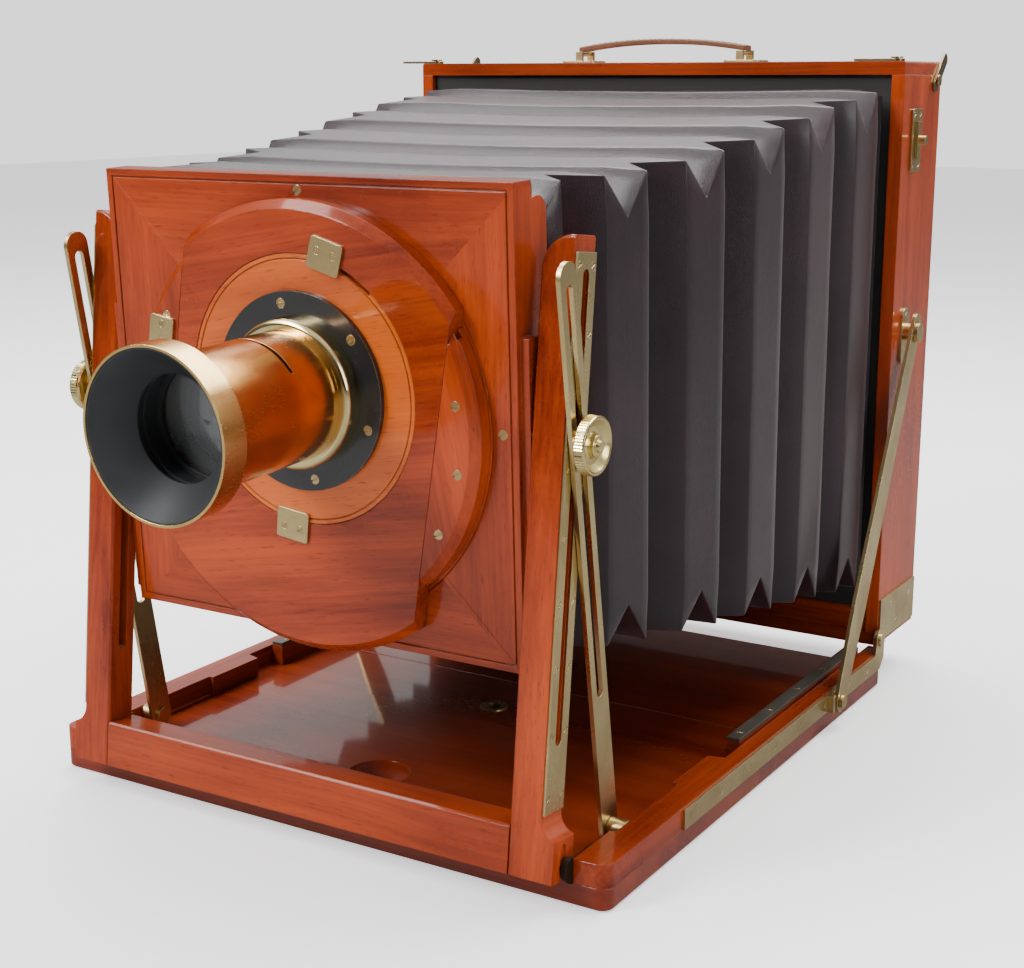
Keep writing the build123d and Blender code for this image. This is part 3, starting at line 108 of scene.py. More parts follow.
class StageSettings(bpy.types.PropertyGroup):
    """Camera and floor."""

    lens: FloatProperty(name="Focal length", description="Camera focal length in millimetres", default=60.6,
                        min=20, max=200)
    floor: FloatProperty(name="Floor size", description="Side of the floor", default=12.0, min=2, max=30,
                         unit="LENGTH")
    segments: IntProperty(name="Turning steps", description="Steps round a turned piece", default=120,
                          min=24, max=240)


# ------------------------------------------------------------------ node helpers
def add_node(tree, kind, inputs=None, **settings):
    """A node with its settings and unlinked input values."""
    made = tree.nodes.new(kind)
    for key, value in settings.items():
        setattr(made, key, value)
    for key, value in (inputs or {}).items():
        if isinstance(value, bpy.types.NodeSocket):
            tree.links.new(value, made.inputs[key])
        else:
            made.inputs[key].default_value = value
    return made


def calc(tree, operation, a, b=0.5, clamp=False):
    """Output of one Math node."""
    return add_node(tree, "ShaderNodeMath", {0: a, 1: b}, operation=operation, use_clamp=clamp).outputs[0]


def stretch(tree, vector, scale, shift=(0, 0, 0)):
    """The vector scaled by axis, then shifted."""
    scaled = add_node(tree, "ShaderNodeVectorMath", {0: vector, 1: scale}, operation="MULTIPLY").outputs[0]
    return add_node(tree, "ShaderNodeVectorMath", {0: scaled, 1: shift}, operation="ADD").outputs[0]


def fbm(tree, vector, scale, detail=4.0, rough=0.55, distortion=0.0):
    """Factor of a noise texture."""
    return add_node(tree, "ShaderNodeTexNoise", {
        "Vector": vector, "Scale": scale, "Detail": detail, "Roughness": rough, "Distortion": distortion,
    }).outputs["Fac"]


def window(tree, value, low, high, to_low=0.0, to_high=1.0):
    """Value mapped from low..high to to_low..to_high, held at the ends."""
    return add_node(tree, "ShaderNodeMapRange", {
        "Value": value, "From Min": low, "From Max": high, "To Min": to_low, "To Max": to_high,
    }, clamp=True).outputs["Result"]


def blend_colour(tree, factor, a, b, mode="MIX"):
    """Output of one colour Mix node."""
    mix = add_node(tree, "ShaderNodeMix", data_type="RGBA", blend_type=mode)
    for socket, value in ((0, factor), (6, a), (7, b)):
        if isinstance(value, bpy.types.NodeSocket):
            tree.links.new(value, mix.inputs[socket])
        elif socket == 0:
            mix.inputs[socket].default_value = value
        else:
            mix.inputs[socket].default_value = (*value[:3], 1.0)
    return mix.outputs[2]


def new_group(name, inputs, outputs):
    """An empty shader group with named sockets; returns the tree, its input node and its output node."""
    tree = bpy.data.node_groups.new(name, "ShaderNodeTree")
    for label, kind, value in inputs:
        socket = tree.interface.new_socket(label, in_out="INPUT", socket_type=kind)
        if value is not None:
            socket.default_value = value
    for label, kind in outputs:
        tree.interface.new_socket(label, in_out="OUTPUT", socket_type=kind)
    return tree, tree.nodes.new("NodeGroupInput"), tree.nodes.new("NodeGroupOutput")


def build_wood_grain():
    """Mahogany with ribbon figure, fibres and short open pores; the grain runs along the vector's X."""
    tree, given, out = new_group("wood_grain", [
        ("Vector", "NodeSocketVector", None), ("Light", "NodeSocketColor", (0.5, 0.1, 0.02, 1)),
        ("Dark", "NodeSocketColor", (0.2, 0.03, 0.01, 1)), ("Seed", "NodeSocketFloat", 0.0),
    ], [("Color", "NodeSocketColor"), ("Height", "NodeSocketFloat"), ("Roughness", "NodeSocketFloat")])
    links = tree.links
    seeded = add_node(tree, "ShaderNodeVectorMath",
                      {0: given.outputs["Vector"], 1: given.outputs["Seed"]}, operation="ADD").outputs[0]
    bend = fbm(tree, stretch(tree, seeded, (2.2, 9.0, 9.0)), 1.0, 2.0)
    sway = add_node(tree, "ShaderNodeCombineXYZ", {"Y": calc(tree, "MULTIPLY", bend, 0.035),
                                                   "Z": calc(tree, "MULTIPLY", bend, 0.028)}).outputs[0]
    swayed = add_node(tree, "ShaderNodeVectorMath", {0: seeded, 1: sway}, operation="ADD").outputs[0]
    ribbon = fbm(tree, stretch(tree, swayed, (1.6, 42.0, 42.0)), 1.0, 4.0, 0.6)
    fibre = fbm(tree, stretch(tree, swayed, (9.0, 420.0, 420.0)), 1.0, 3.0, 0.65)
    pores = fbm(tree, stretch(tree, swayed, (110.0, 1500.0, 1500.0)), 1.0, 1.0, 0.5)
    cloud = fbm(tree, stretch(tree, seeded, (7.0, 13.0, 13.0)), 1.0, 3.0, 0.5)
    tone = calc(tree, "ADD", calc(tree, "MULTIPLY", ribbon, 0.55), calc(tree, "MULTIPLY", fibre, 0.30))
    tone = calc(tree, "ADD", tone, calc(tree, "MULTIPLY", cloud, 0.45))
    shade = window(tree, tone, 0.47, 0.84)
    colour = blend_colour(tree, shade, given.outputs["Dark"], given.outputs["Light"])
    pore = window(tree, pores, 0.64, 0.74)
    colour = blend_colour(tree, calc(tree, "MULTIPLY", pore, 0.55), colour, (0.05, 0.008, 0.003))
    links.new(colour, out.inputs["Color"])
    height = calc(tree, "SUBTRACT", calc(tree, "MULTIPLY", fibre, 0.35), calc(tree, "MULTIPLY", pore, 0.9))
    links.new(height, out.inputs["Height"])
    links.new(window(tree, cloud, 0.3, 0.7, 0.24, 0.36), out.inputs["Roughness"])
    return tree


def build_metal_age():
    """Lacquered brass: blotches where the lacquer has browned, fine draw lines along the vector's X."""
    tree, given, out = new_group("metal_age", [
        ("Vector", "NodeSocketVector", None), ("Bright", "NodeSocketColor", (0.9, 0.7, 0.3, 1)),
        ("Aged", "NodeSocketColor", (0.5, 0.3, 0.1, 1)), ("Age", "NodeSocketFloat", 0.4),
        ("Brush", "NodeSocketFloat", 1.0),
    ], [("Color", "NodeSocketColor"), ("Height", "NodeSocketFloat"), ("Roughness", "NodeSocketFloat")])
    vector = given.outputs["Vector"]
    blotch = fbm(tree, stretch(tree, vector, (28.0, 40.0, 40.0)), 1.0, 5.0, 0.62)
    spots = fbm(tree, stretch(tree, vector, (260.0, 260.0, 260.0)), 1.0, 3.0, 0.6)
    lines = fbm(tree, stretch(tree, vector, (30.0, 2600.0, 2600.0)), 1.0, 2.0, 0.5)
    aged = calc(tree, "MULTIPLY", window(tree, blotch, 0.38, 0.68), given.outputs["Age"])
    aged = calc(tree, "ADD", aged, calc(tree, "MULTIPLY", window(tree, spots, 0.62, 0.76), 0.30), clamp=True)
    colour = blend_colour(tree, aged, given.outputs["Bright"], given.outputs["Aged"])
    tree.links.new(colour, out.inputs["Color"])
    tree.links.new(calc(tree, "MULTIPLY", lines, given.outputs["Brush"]), out.inputs["Height"])
    rough = calc(tree, "ADD", window(tree, blotch, 0.3, 0.7, 0.16, 0.30), calc(tree, "MULTIPLY", lines, 0.06))
    tree.links.new(rough, out.inputs["Roughness"])
    return tree


def build_edge_wear():
    """Mask of rubbed edges, and the normal that rounds them."""
    tree, given, out = new_group("edge_wear", [
        ("Vector", "NodeSocketVector", None), ("Radius", "NodeSocketFloat", 0.0008),
    ], [("Mask", "NodeSocketFloat"), ("Normal", "NodeSocketVector")])
    soft = add_node(tree, "ShaderNodeBevel", {"Radius": given.outputs["Radius"]}, samples=4).outputs[0]
    flat = tree.nodes.new("ShaderNodeNewGeometry").outputs["Normal"]
    same = add_node(tree, "ShaderNodeVectorMath", {0: soft, 1: flat},
                    operation="DOT_PRODUCT").outputs["Value"]
    broken = fbm(tree, stretch(tree, given.outputs["Vector"], (140.0, 140.0, 140.0)), 1.0, 4.0, 0.6)
    mask = calc(tree, "MULTIPLY", window(tree, same, 0.985, 0.86), window(tree, broken, 0.40, 0.62))
    tree.links.new(mask, out.inputs["Mask"])
    tree.links.new(soft, out.inputs["Normal"])
    return tree


def build_hide_grain():
    """Fine pebbled hide with softer creases."""
    tree, given, out = new_group("hide_grain", [
        ("Vector", "NodeSocketVector", None), ("Scale", "NodeSocketFloat", 900.0),
    ], [("Height", "NodeSocketFloat"), ("Shade", "NodeSocketFloat")])
    vector = given.outputs["Vector"]
    cells = add_node(tree, "ShaderNodeTexVoronoi", {"Vector": vector, "Scale": given.outputs["Scale"]},
                     feature="DISTANCE_TO_EDGE").outputs["Distance"]
    crease = fbm(tree, stretch(tree, vector, (90.0, 90.0, 160.0)), 1.0, 5.0, 0.6, 0.8)
    cloud = fbm(tree, stretch(tree, vector, (11.0, 11.0, 11.0)), 1.0, 4.0, 0.6)
    height = calc(tree, "ADD", window(tree, cells, 0.0, 0.25, 0.0, 0.6), calc(tree, "MULTIPLY", crease, 0.8))
    tree.links.new(height, out.inputs["Height"])
    tree.links.new(cloud, out.inputs["Shade"])
    return tree


GROUPS = {}


def filled(tree, name, inputs):
    """A named group placed in a material with its own values."""
    made = tree.nodes.new("ShaderNodeGroup")
    made.node_tree = GROUPS[name]
    for key, value in inputs.items():
        if isinstance(value, bpy.types.NodeSocket):
            tree.links.new(value, made.inputs[key])
        elif made.inputs[key].type == "RGBA":
            made.inputs[key].default_value = (*value[:3], 1.0)
        else:
            made.inputs[key].default_value = value
    return made


def start_material(name):
    """A new node material; returns it, its tree, its Principled shader and the object coordinate."""
    made = bpy.data.materials.new(name)
    made.use_nodes = True
    tree = made.node_tree
    shader = next(n for n in tree.nodes if n.type == "BSDF_PRINCIPLED")
    place = tree.nodes.new("ShaderNodeTexCoord").outputs["Object"]
    return made, tree, shader, place


def bump(tree, height, strength, distance, normal=None):
    """Normal of one Bump node."""
    inputs = {"Height": height, "Strength": strength, "Distance": distance}
    if normal is not None:
        inputs["Normal"] = normal
    return add_node(tree, "ShaderNodeBump", inputs).outputs["Normal"]


def swizzle(tree, vector, order):
    """The vector with its parts in another order, such as 'zxy'."""
    parts = add_node(tree, "ShaderNodeSeparateXYZ", {0: vector}).outputs
    made = tree.nodes.new("ShaderNodeCombineXYZ")
    for index, letter in enumerate(order):
        tree.links.new(parts["xyz".index(letter)], made.inputs[index])
    return made.outputs[0]


def mahogany(name, grain, light, dark, coat, seed=0.0, tilt=0.0):
    """French polished mahogany; grain is the axis its fibres follow, or 'mitred' for the lens panel."""
    made, tree, shader, place = start_material(name)
    if tilt:
        place = add_node(tree, "ShaderNodeMapping", {"Vector": place, "Rotation": (0, tilt, 0)}).outputs[0]
    if grain == "mitred":
        parts = add_node(tree, "ShaderNodeSeparateXYZ", {0: place}).outputs
        across = calc(tree, "ABSOLUTE", parts[0])
        rise = calc(tree, "ABSOLUTE", calc(tree, "SUBTRACT", parts[2], STUD.z - MITRE_DROP))
        upright = calc(tree, "GREATER_THAN", calc(tree, "SUBTRACT", across, rise), MITRE_EDGE)
        side, end = swizzle(tree, place, "zxy"), stretch(tree, place, (1, 1, 1), (3.1, 1.7, 0.4))
        mix = add_node(tree, "ShaderNodeMix", {0: upright}, data_type="VECTOR")
        tree.links.new(end, mix.inputs[4])
        tree.links.new(side, mix.inputs[5])
        vector = mix.outputs[1]
    else:
        vector = swizzle(tree, place, {"x": "xyz", "y": "yxz", "z": "zxy"}[grain])
    wood = filled(tree, "wood_grain", {"Vector": vector, "Light": light, "Dark": dark, "Seed": seed})
    edge = filled(tree, "edge_wear", {"Vector": place, "Radius": 0.0009})
    worn = blend_colour(tree, calc(tree, "MULTIPLY", edge.outputs["Mask"], 0.35), wood.outputs["Color"],
                        (light[0], light[1] * 1.7, light[2] * 2.2))
    tree.links.new(worn, shader.inputs["Base Color"])
    dust = window(tree, fbm(tree, stretch(tree, place, (60, 60, 60)), 1.0, 4.0, 0.7), 0.5, 0.8, 0.0, 0.10)
    tree.links.new(calc(tree, "ADD", wood.outputs["Roughness"], dust), shader.inputs["Roughness"])
    normal = bump(tree, wood.outputs["Height"], 0.22, 0.00018, edge.outputs["Normal"])
    tree.links.new(normal, shader.inputs["Normal"])
    shader.inputs["Specular IOR Level"].default_value = 0.12
    shader.inputs["Coat Weight"].default_value = coat
    shader.inputs["Coat Roughness"].default_value = 0.07
    shader.inputs["Coat IOR"].default_value = 1.5
    tree.links.new(edge.outputs["Normal"], shader.inputs["Coat Normal"])
    return made


def brass(name, bright, aged, age=0.4, brush=1.0, rough=0.0, grain="y", turned=False, coat=0.0):
    """Lacquered brass with draw lines along one axis, or lathe lines round the lens axis."""
    made, tree, shader, place = start_material(name)
    vector = swizzle(tree, place, {"x": "xyz", "y": "yxz", "z": "zxy"}[grain])
    metal = filled(tree, "metal_age", {"Vector": vector, "Bright": bright, "Aged": aged, "Age": age,
                                        "Brush": brush})
    edge = filled(tree, "edge_wear", {"Vector": place, "Radius": 0.0004})
    colour = blend_colour(tree, calc(tree, "MULTIPLY", edge.outputs["Mask"], 0.5), metal.outputs["Color"],
                          (0.95, 0.80, 0.50))
    tree.links.new(colour, shader.inputs["Base Color"])
    tree.links.new(calc(tree, "ADD", metal.outputs["Roughness"], rough), shader.inputs["Roughness"])
    shader.inputs["Metallic"].default_value = 1.0
    height = metal.outputs["Height"]
    if turned:
        height = fbm(tree, stretch(tree, place, (9.0, 2400.0, 9.0)), 1.0, 2.0, 0.6)
    tree.links.new(bump(tree, height, 0.10, 0.00005, edge.outputs["Normal"]), shader.inputs["Normal"])
    shader.inputs["Coat Weight"].default_value = coat
    shader.inputs["Coat Roughness"].default_value = 0.06
    return made


def painted(name, colour, rough, worn=(0.25, 0.2, 0.12), wear=0.25, metallic=0.0, coat=0.0):
    """Lacquer or paint over metal or wood, rubbed on its edges."""
    made, tree, shader, place = start_material(name)
    edge = filled(tree, "edge_wear", {"Vector": place, "Radius": 0.0005})
    cloud = fbm(tree, stretch(tree, place, (45, 45, 45)), 1.0, 5.0, 0.6)
    base = blend_colour(tree, window(tree, cloud, 0.35, 0.7, 0.0, 0.35), colour,
                        tuple(c * 1.9 for c in colour))
    tree.links.new(blend_colour(tree, calc(tree, "MULTIPLY", edge.outputs["Mask"], wear), base, worn),
                   shader.inputs["Base Color"])
    tree.links.new(window(tree, cloud, 0.3, 0.7, rough, rough + 0.14), shader.inputs["Roughness"])
    grit = fbm(tree, stretch(tree, place, (900, 900, 900)), 1.0, 2.0, 0.5)
    tree.links.new(bump(tree, grit, 0.10, 0.00006, edge.outputs["Normal"]), shader.inputs["Normal"])
    shader.inputs["Metallic"].default_value = metallic
    shader.inputs["Specular IOR Level"].default_value = 0.3
    shader.inputs["Coat Weight"].default_value = coat
    shader.inputs["Coat Roughness"].default_value = 0.08
    return made


def hide(name, colour, rough, worn, scale=900.0, coat=0.0, wear=0.5, sheen=0.0):
    """Leather with a pebbled grain, cloudy colour and paler rubbed folds."""
    made, tree, shader, place = start_material(name)
    grain = filled(tree, "hide_grain", {"Vector": place, "Scale": scale})
    edge = filled(tree, "edge_wear", {"Vector": place, "Radius": 0.0016})
    base = blend_colour(tree, window(tree, grain.outputs["Shade"], 0.3, 0.72),
                        tuple(c * 0.62 for c in colour), tuple(min(1.0, c * 1.6) for c in colour))
    tree.links.new(blend_colour(tree, calc(tree, "MULTIPLY", edge.outputs["Mask"], wear), base, worn),
                   shader.inputs["Base Color"])
    tree.links.new(window(tree, grain.outputs["Shade"], 0.3, 0.7, rough + 0.06, rough - 0.05),
                   shader.inputs["Roughness"])
    tree.links.new(bump(tree, grain.outputs["Height"], 0.42, 0.00032, edge.outputs["Normal"]),
                   shader.inputs["Normal"])
    shader.inputs["Specular IOR Level"].default_value = 0.3
    shader.inputs["Sheen Weight"].default_value = sheen
    shader.inputs["Sheen Roughness"].default_value = 0.35
    shader.inputs["Coat Weight"].default_value = coat
    shader.inputs["Coat Roughness"].default_value = 0.20
    return made


def clear_glass(name, tint, rough):
    """Lens glass or ground glass."""
    made, tree, shader, place = start_material(name)
    smear = fbm(tree, stretch(tree, place, (120, 120, 120)), 1.0, 4.0, 0.6)
    tree.links.new(window(tree, smear, 0.3, 0.8, rough, rough + 0.05), shader.inputs["Roughness"])
    tree.links.new(blend_colour(tree, window(tree, smear, 0.2, 0.8, 0.0, 0.25), tint,
                                tuple(c * 0.92 for c in tint)), shader.inputs["Base Color"])
    tree.links.new(bump(tree, smear, 0.02, 0.00002), shader.inputs["Normal"])
    shader.inputs["Transmission Weight"].default_value = 0.92
    shader.inputs["IOR"].default_value = 1.52
    shader.inputs["Coat Weight"].default_value = 0.5
    return made


def dress(names, material):
    """Give a material to CAD nodes."""
    for name in names:
        slots = NODES[name].material_slots
        if not slots:
            NODES[name].data.materials.append(material)
        for entry in slots:
            entry.material = material


def shade(obj, angle=30.0):
    """Smooth shading that keeps edges sharper than the angle."""
    bpy.ops.object.select_all(action="DESELECT")
    obj.select_set(True)
    bpy.context.view_layer.objects.active = obj
    bpy.ops.object.shade_smooth_by_angle(angle=math.radians(angle))


class CAMERA_OT_finishes(bpy.types.Operator):
    """Build the shader groups and materials and give them to the frame's nodes."""

    bl_idname = "field_camera.finishes"
    bl_label = "Finishes"

    def execute(self, context):
        GROUPS.update(wood_grain=build_wood_grain(), metal_age=build_metal_age(),
                      edge_wear=build_edge_wear(), hide_grain=build_hide_grain())
        look = context.scene.camera_finish
        light, dark, coat = tuple(look.wood_light), tuple(look.wood_dark), look.coat
        along = {axis: mahogany(f"mahogany_{axis}", axis, light, dark, coat, seed)
                 for axis, seed in (("x", 0.3), ("y", 1.7), ("z", 4.1))}
        dress(["front_bottom_rail", "box_top_board", "box_bottom_board", "box_ledge"], along["x"])
        dress(["base_side_rails", "runners"], along["y"])
        dress(["uprights", "box_sides", "screen_frame"], along["z"])
        # The base board gets a copy of the wood with its light tone at 0.62: painted shade for the board
        # lying between the rails under the bellows.
        dress(["base_board"],
              mahogany("mahogany_floor_painted_shade", "x", tuple(c * 0.62 for c in light), dark, 0.8, 8.3))
        dress(["panel_frame"], mahogany("mahogany_panel", "mitred", light, dark, coat, 2.2))
        tilt = math.atan2(SLIDE_AXIS.x, SLIDE_AXIS.z)
        dress(["turntable", "turntable_retainer", "cheeks"],
              mahogany("mahogany_turntable", "z", light, dark, coat, 5.9, tilt))
        dress(["sliding_board"], mahogany("mahogany_board", "x", light, dark, coat, 3.4, tilt))
        dress(["lens_disc"], mahogany("mahogany_disc", "x", tuple(look.disc_light), tuple(look.disc_dark),
                                      coat, 6.6, tilt))
        bright, aged = tuple(look.brass_bright), tuple(look.brass_aged)
        flat = {axis: brass(f"brass_{axis}", bright, aged, 0.45, 1.0, 0.04, axis) for axis in "xyz"}
        dress(["side_strips", "hinge_brackets", "tripod_bush", "pivot_pins"], flat["y"])
        dress(["foot_hinges"], painted("blackened_hinge", (0.030, 0.022, 0.014), 0.45,
                                       (0.25, 0.17, 0.08), 0.3, 0.8))
        dress(["upright_plates", "front_struts", "box_side_plates", "stay_clamps", "back_stays",
               "left_side_bolt", "right_side_bolt", "clamp_studs"], flat["z"])
        dress(["left_back_catch", "right_back_catch", "left_front_catch", "right_front_catch"],
              brass("brass_tarnished", (0.34, 0.26, 0.13), (0.10, 0.075, 0.038), 0.7, 1.0, 0.08, "x"))
        dress(["keeper_plates", "cheek_plate", "handle_plates",
               "screen_hinge_leaves", "screen_hinge_tongues", "glass_clips"], flat["x"])
        dress(["base_screws", "upright_screws", "panel_screws", "turntable_screws", "keeper_screws",
               "flange_screws", "box_screws"],
              brass("brass_screw", (0.74, 0.55, 0.27), (0.30, 0.19, 0.08), 0.7))
        dress(["lens_barrel"], brass("brass_barrel", (0.70, 0.36, 0.10), (0.36, 0.15, 0.035),
                                     0.55, 0.0, -0.02, turned=True, coat=0.5))
        dress(["lens_hood"], brass("brass_hood", (0.80, 0.55, 0.20), (0.42, 0.24, 0.07), 0.5, 0.0, 0.0,
                                   turned=True, coat=0.3))
        dress(["lens_collar"], brass("brass_polished", (0.90, 0.76, 0.38), (0.62, 0.46, 0.17),
                                     0.3, 0.0, -0.07, turned=True))
        dress(["left_clamp_knob", "right_clamp_knob"],
              brass("brass_knob", (0.86, 0.70, 0.32), (0.50, 0.34, 0.12), 0.4, 0.4, -0.04, "x"))
        dress(["lens_flange"], painted("black_lacquer", (0.012, 0.012, 0.013), 0.18, (0.45, 0.33, 0.14), 0.5,
                                       coat=0.6))
        dress(["lens_baffles"], painted("blackened_brass", (0.020, 0.021, 0.023), 0.42,
                                        (0.2, 0.16, 0.09), 0.3))
        dress(["bellows_front_frame", "bellows_rear_frame"],
              painted("black_wood", (0.018, 0.017, 0.016), 0.5))
        dress(["runner_caps"], painted("dark_cap", (0.115, 0.105, 0.085), 0.34,
                                       (0.34, 0.30, 0.22), 0.4, 0.75))
        dress(["lens_glasses"], clear_glass("optical_glass", (0.86, 0.90, 0.92), 0.0))
        dress(["ground_glass"], clear_glass("ground_glass", (0.86, 0.89, 0.88), 0.42))
        return {"FINISHED"}


# ------------------------------------------------------------------ bellows
ENVELOPE = (  # y, half width, top, bottom at each outward fold
    (-0.0350, 0.1222, 0.3545, 0.1130), (-0.0275, 0.1235, 0.3548, 0.1110), (-0.0200, 0.1310, 0.3555, 0.1080),
    (0.046, 0.1445, 0.3580, 0.1010), (0.112, 0.1575, 0.3662, 0.0940), (0.178, 0.1645, 0.3765, 0.0870),
    (0.244, 0.1685, 0.3870, 0.0785), (0.310, 0.1715, 0.3955, 0.0690), (0.327, 0.1715, 0.3965, 0.0660),
)
FRONT_SLOPE = 0.0437  # the front of the bellows follows the tilt of the lens panel
BELLOWS_AXIS_Z = 0.24
RIDGES = 6
FIRST_RIDGE = -0.020
FRONT_FOLDS = [(-0.0347, "end"), (-0.0325, "top")]
REAR_VALLEY, REAR_END = 0.009, 0.3266  # last valley behind the last ridge; where the leather stops
CUTS = (0, 6, 10, 14)  # folds where one stretch gives way to the next
SPANS = (("studs", "lens_panel"), ("front_frame", "studs"), ("base", "front_frame"), ("back_box", "base"))
END_TUCK = 0.004  # how far the leather goes in at both ends
LONG_RUN = 0.12  # a run longer than this is cut into more steps
WANDER = 0.0011


def envelope(y):
    """Half width, top and bottom of the bellows' outside at y."""
    for (y0, *a), (y1, *b) in zip(ENVELOPE, ENVELOPE[1:]):
        if y <= y1 or y1 == ENVELOPE[-1][0]:
            t = min(max((y - y0) / (y1 - y0), 0.0), 1.0)
            return [p + (q - p) * t for p, q in zip(a, b)]
    return list(ENVELOPE[-1][1:])


def bellows_ring(y, kind, depth):
    """Outline of one fold, eight points a side pair: corners and the ends of the corner gussets."""
    half, top, bottom = envelope(y)
    side_in = depth if kind == "side" else 0.0
    top_in = depth if kind == "top" else 0.0
    if kind == "end":
        side_in, top_in = END_TUCK, END_TUCK
    x, zt, zb = half - side_in, top - top_in, bottom + top_in
    gusset = depth + 0.003
    mid_t, mid_b = top - gusset, bottom + gusset
    mid_x = half - gusset
    soft = 0.0012 if kind == "ridge" else 0.0
    follow = FRONT_SLOPE * min(max((ENVELOPE[-1][0] - y) / (ENVELOPE[-1][0] - ENVELOPE[0][0]), 0.0), 1.0)
    ring = [
        (x - soft, zt - soft), (x, mid_t), (x, mid_b), (x - soft, zb + soft), (mid_x, zb), (-mid_x, zb),
        (-x + soft, zb + soft), (-x, mid_b), (-x, mid_t), (-x + soft, zt - soft), (-mid_x, zt), (mid_x, zt),
    ]
    return [Vector((px, y + follow * (ENVELOPE[0][2] - pz), pz)) for px, pz in ring]


def crease_points(points, y, kind, wander):
    """Rings are cut finer along their long runs, and wander a little as old leather does."""
    made = []
    for index, point in enumerate(points):
        after = points[(index + 1) % len(points)]
        run = (after - point).length
        steps = 10 if run > LONG_RUN else 2
        for step in range(steps):
            t = step / steps
            spot = point.lerp(after, t)
            lift = noise.noise(Vector((spot.x * 23.0, y * 61.0, spot.z * 23.0)))
            belly = math.sin(math.pi * t) if steps > 2 else 0.0
            sag = Vector((0, 0, -0.0016 * belly)) if abs(after.z - point.z) < 0.02 else Vector()
            made.append(spot + sag + Vector((0, wander * lift, wander * 0.6 * lift)))
    return made


def build_pleats(name, folds, depth, thickness, materials):
    """One stretch of bellows through the given folds, walled and softened."""
    rings = [crease_points(bellows_ring(y, kind, depth), y, kind, 0.0 if last else WANDER)
             for y, kind, last in folds]
    dense = []
    for before, after in zip(rings, rings[1:]):
        dense.append(before)
        for part in (0.34, 0.67):
            dense.append([a.lerp(b, part) for a, b in zip(before, after)])
    dense.append(rings[-1])
    count = len(dense[0])
    verts = [tuple(v) for ring in dense for v in ring]
    faces = []
    for level in range(len(dense) - 1):
        for index in range(count):
            after = (index + 1) % count
            faces.append((level * count + index, level * count + after,
                          (level + 1) * count + after, (level + 1) * count + index))
    mesh = bpy.data.meshes.new(name)
    mesh.from_pydata(verts, [], faces)
    obj = bpy.data.objects.new(name, mesh)
    bpy.context.collection.objects.link(obj)
    for material in materials:
        mesh.materials.append(material)
    bpy.ops.object.select_all(action="DESELECT")
    obj.select_set(True)
    bpy.context.view_layer.objects.active = obj
    bpy.ops.object.mode_set(mode="EDIT")
    bpy.ops.mesh.select_all(action="SELECT")
    bpy.ops.mesh.normals_make_consistent(inside=False)
    bpy.ops.object.mode_set(mode="OBJECT")
    outward = sum((p.center - Vector((0, p.center.y, BELLOWS_AXIS_Z))).dot(p.normal) for p in mesh.polygons)
    if outward < 0:
        mesh.flip_normals()
    wall = obj.modifiers.new("wall", "SOLIDIFY")
    wall.thickness = thickness
    wall.offset = -1
    wall.material_offset = 1
    wall.use_rim = True
    bpy.ops.object.modifier_apply(modifier="wall")
    soften = obj.modifiers.new("soften", "BEVEL")
    soften.width = 0.0009
    soften.segments = 2
    soften.limit_method = "ANGLE"
    soften.angle_limit = math.radians(20)
    bpy.ops.object.modifier_apply(modifier="soften")
    shade(obj, 24)
    return obj


class CAMERA_OT_bellows(bpy.types.Operator):
    """Fold the leather bellows in four stretches."""

    bl_idname = "field_camera.bellows"
    bl_label = "Bellows"

    def execute(self, context):
        size = context.scene.camera_bellows
        look = context.scene.camera_finish
        outer = hide("bellows_leather", tuple(look.leather), 0.34, (0.080, 0.030, 0.050), 1000.0,
                     coat=0.5, wear=0.8, sheen=0.22)
        inner = painted("bellows_lining", (0.010, 0.010, 0.011), 0.7)
        half = size.pitch / 2
        folds = list(FRONT_FOLDS)
        for index in range(RIDGES):
            ridge = FIRST_RIDGE + index * size.pitch
            folds.append((ridge, "ridge"))
            if index < RIDGES - 1:
                folds += [(ridge + half / 2, "side"), (ridge + half, "ridge"), (ridge + half * 1.5, "top")]
        folds += [(FIRST_RIDGE + (RIDGES - 1) * size.pitch + REAR_VALLEY, "side"), (REAR_END, "end")]
        cuts = (*CUTS, len(folds) - 1)
        for number, (start, stop, (behind, ahead)) in enumerate(zip(cuts, cuts[1:], SPANS), 1):
            run = folds[start:stop + 1]
            shared = [(y, kind, place in (start, stop)) for place, (y, kind) in enumerate(run, start)]
            piece = build_pleats(f"bellows_stretch_{number}", shared, size.depth, size.leather,
                                 [outer, inner])
            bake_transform(piece)
            if number == 1:
                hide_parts("bellows")
        return {"FINISHED"}


# ------------------------------------------------------------------ clamping wheels
WHEEL = (  # how far out along the stud, radius: the back, the rim, the dish and the boss
    (0.0000, 0.0064), (0.0022, 0.0064), (0.0024, 0.0132), (0.0030, 0.0143), (0.0037, 0.0149),
    (0.0081, 0.0149), (0.0088, 0.0144), (0.0090, 0.0136), (0.0086, 0.0126), (0.0066, 0.0108),
    (0.0057, 0.0092), (0.0055, 0.0068), (0.0062, 0.0060), (0.0088, 0.0055), (0.0092, 0.0049),
    (0.0092, 0.0033), (0.0108, 0.0029), (0.0112, 0.0022),
)


TOOTH_DEPTH = 0.00028


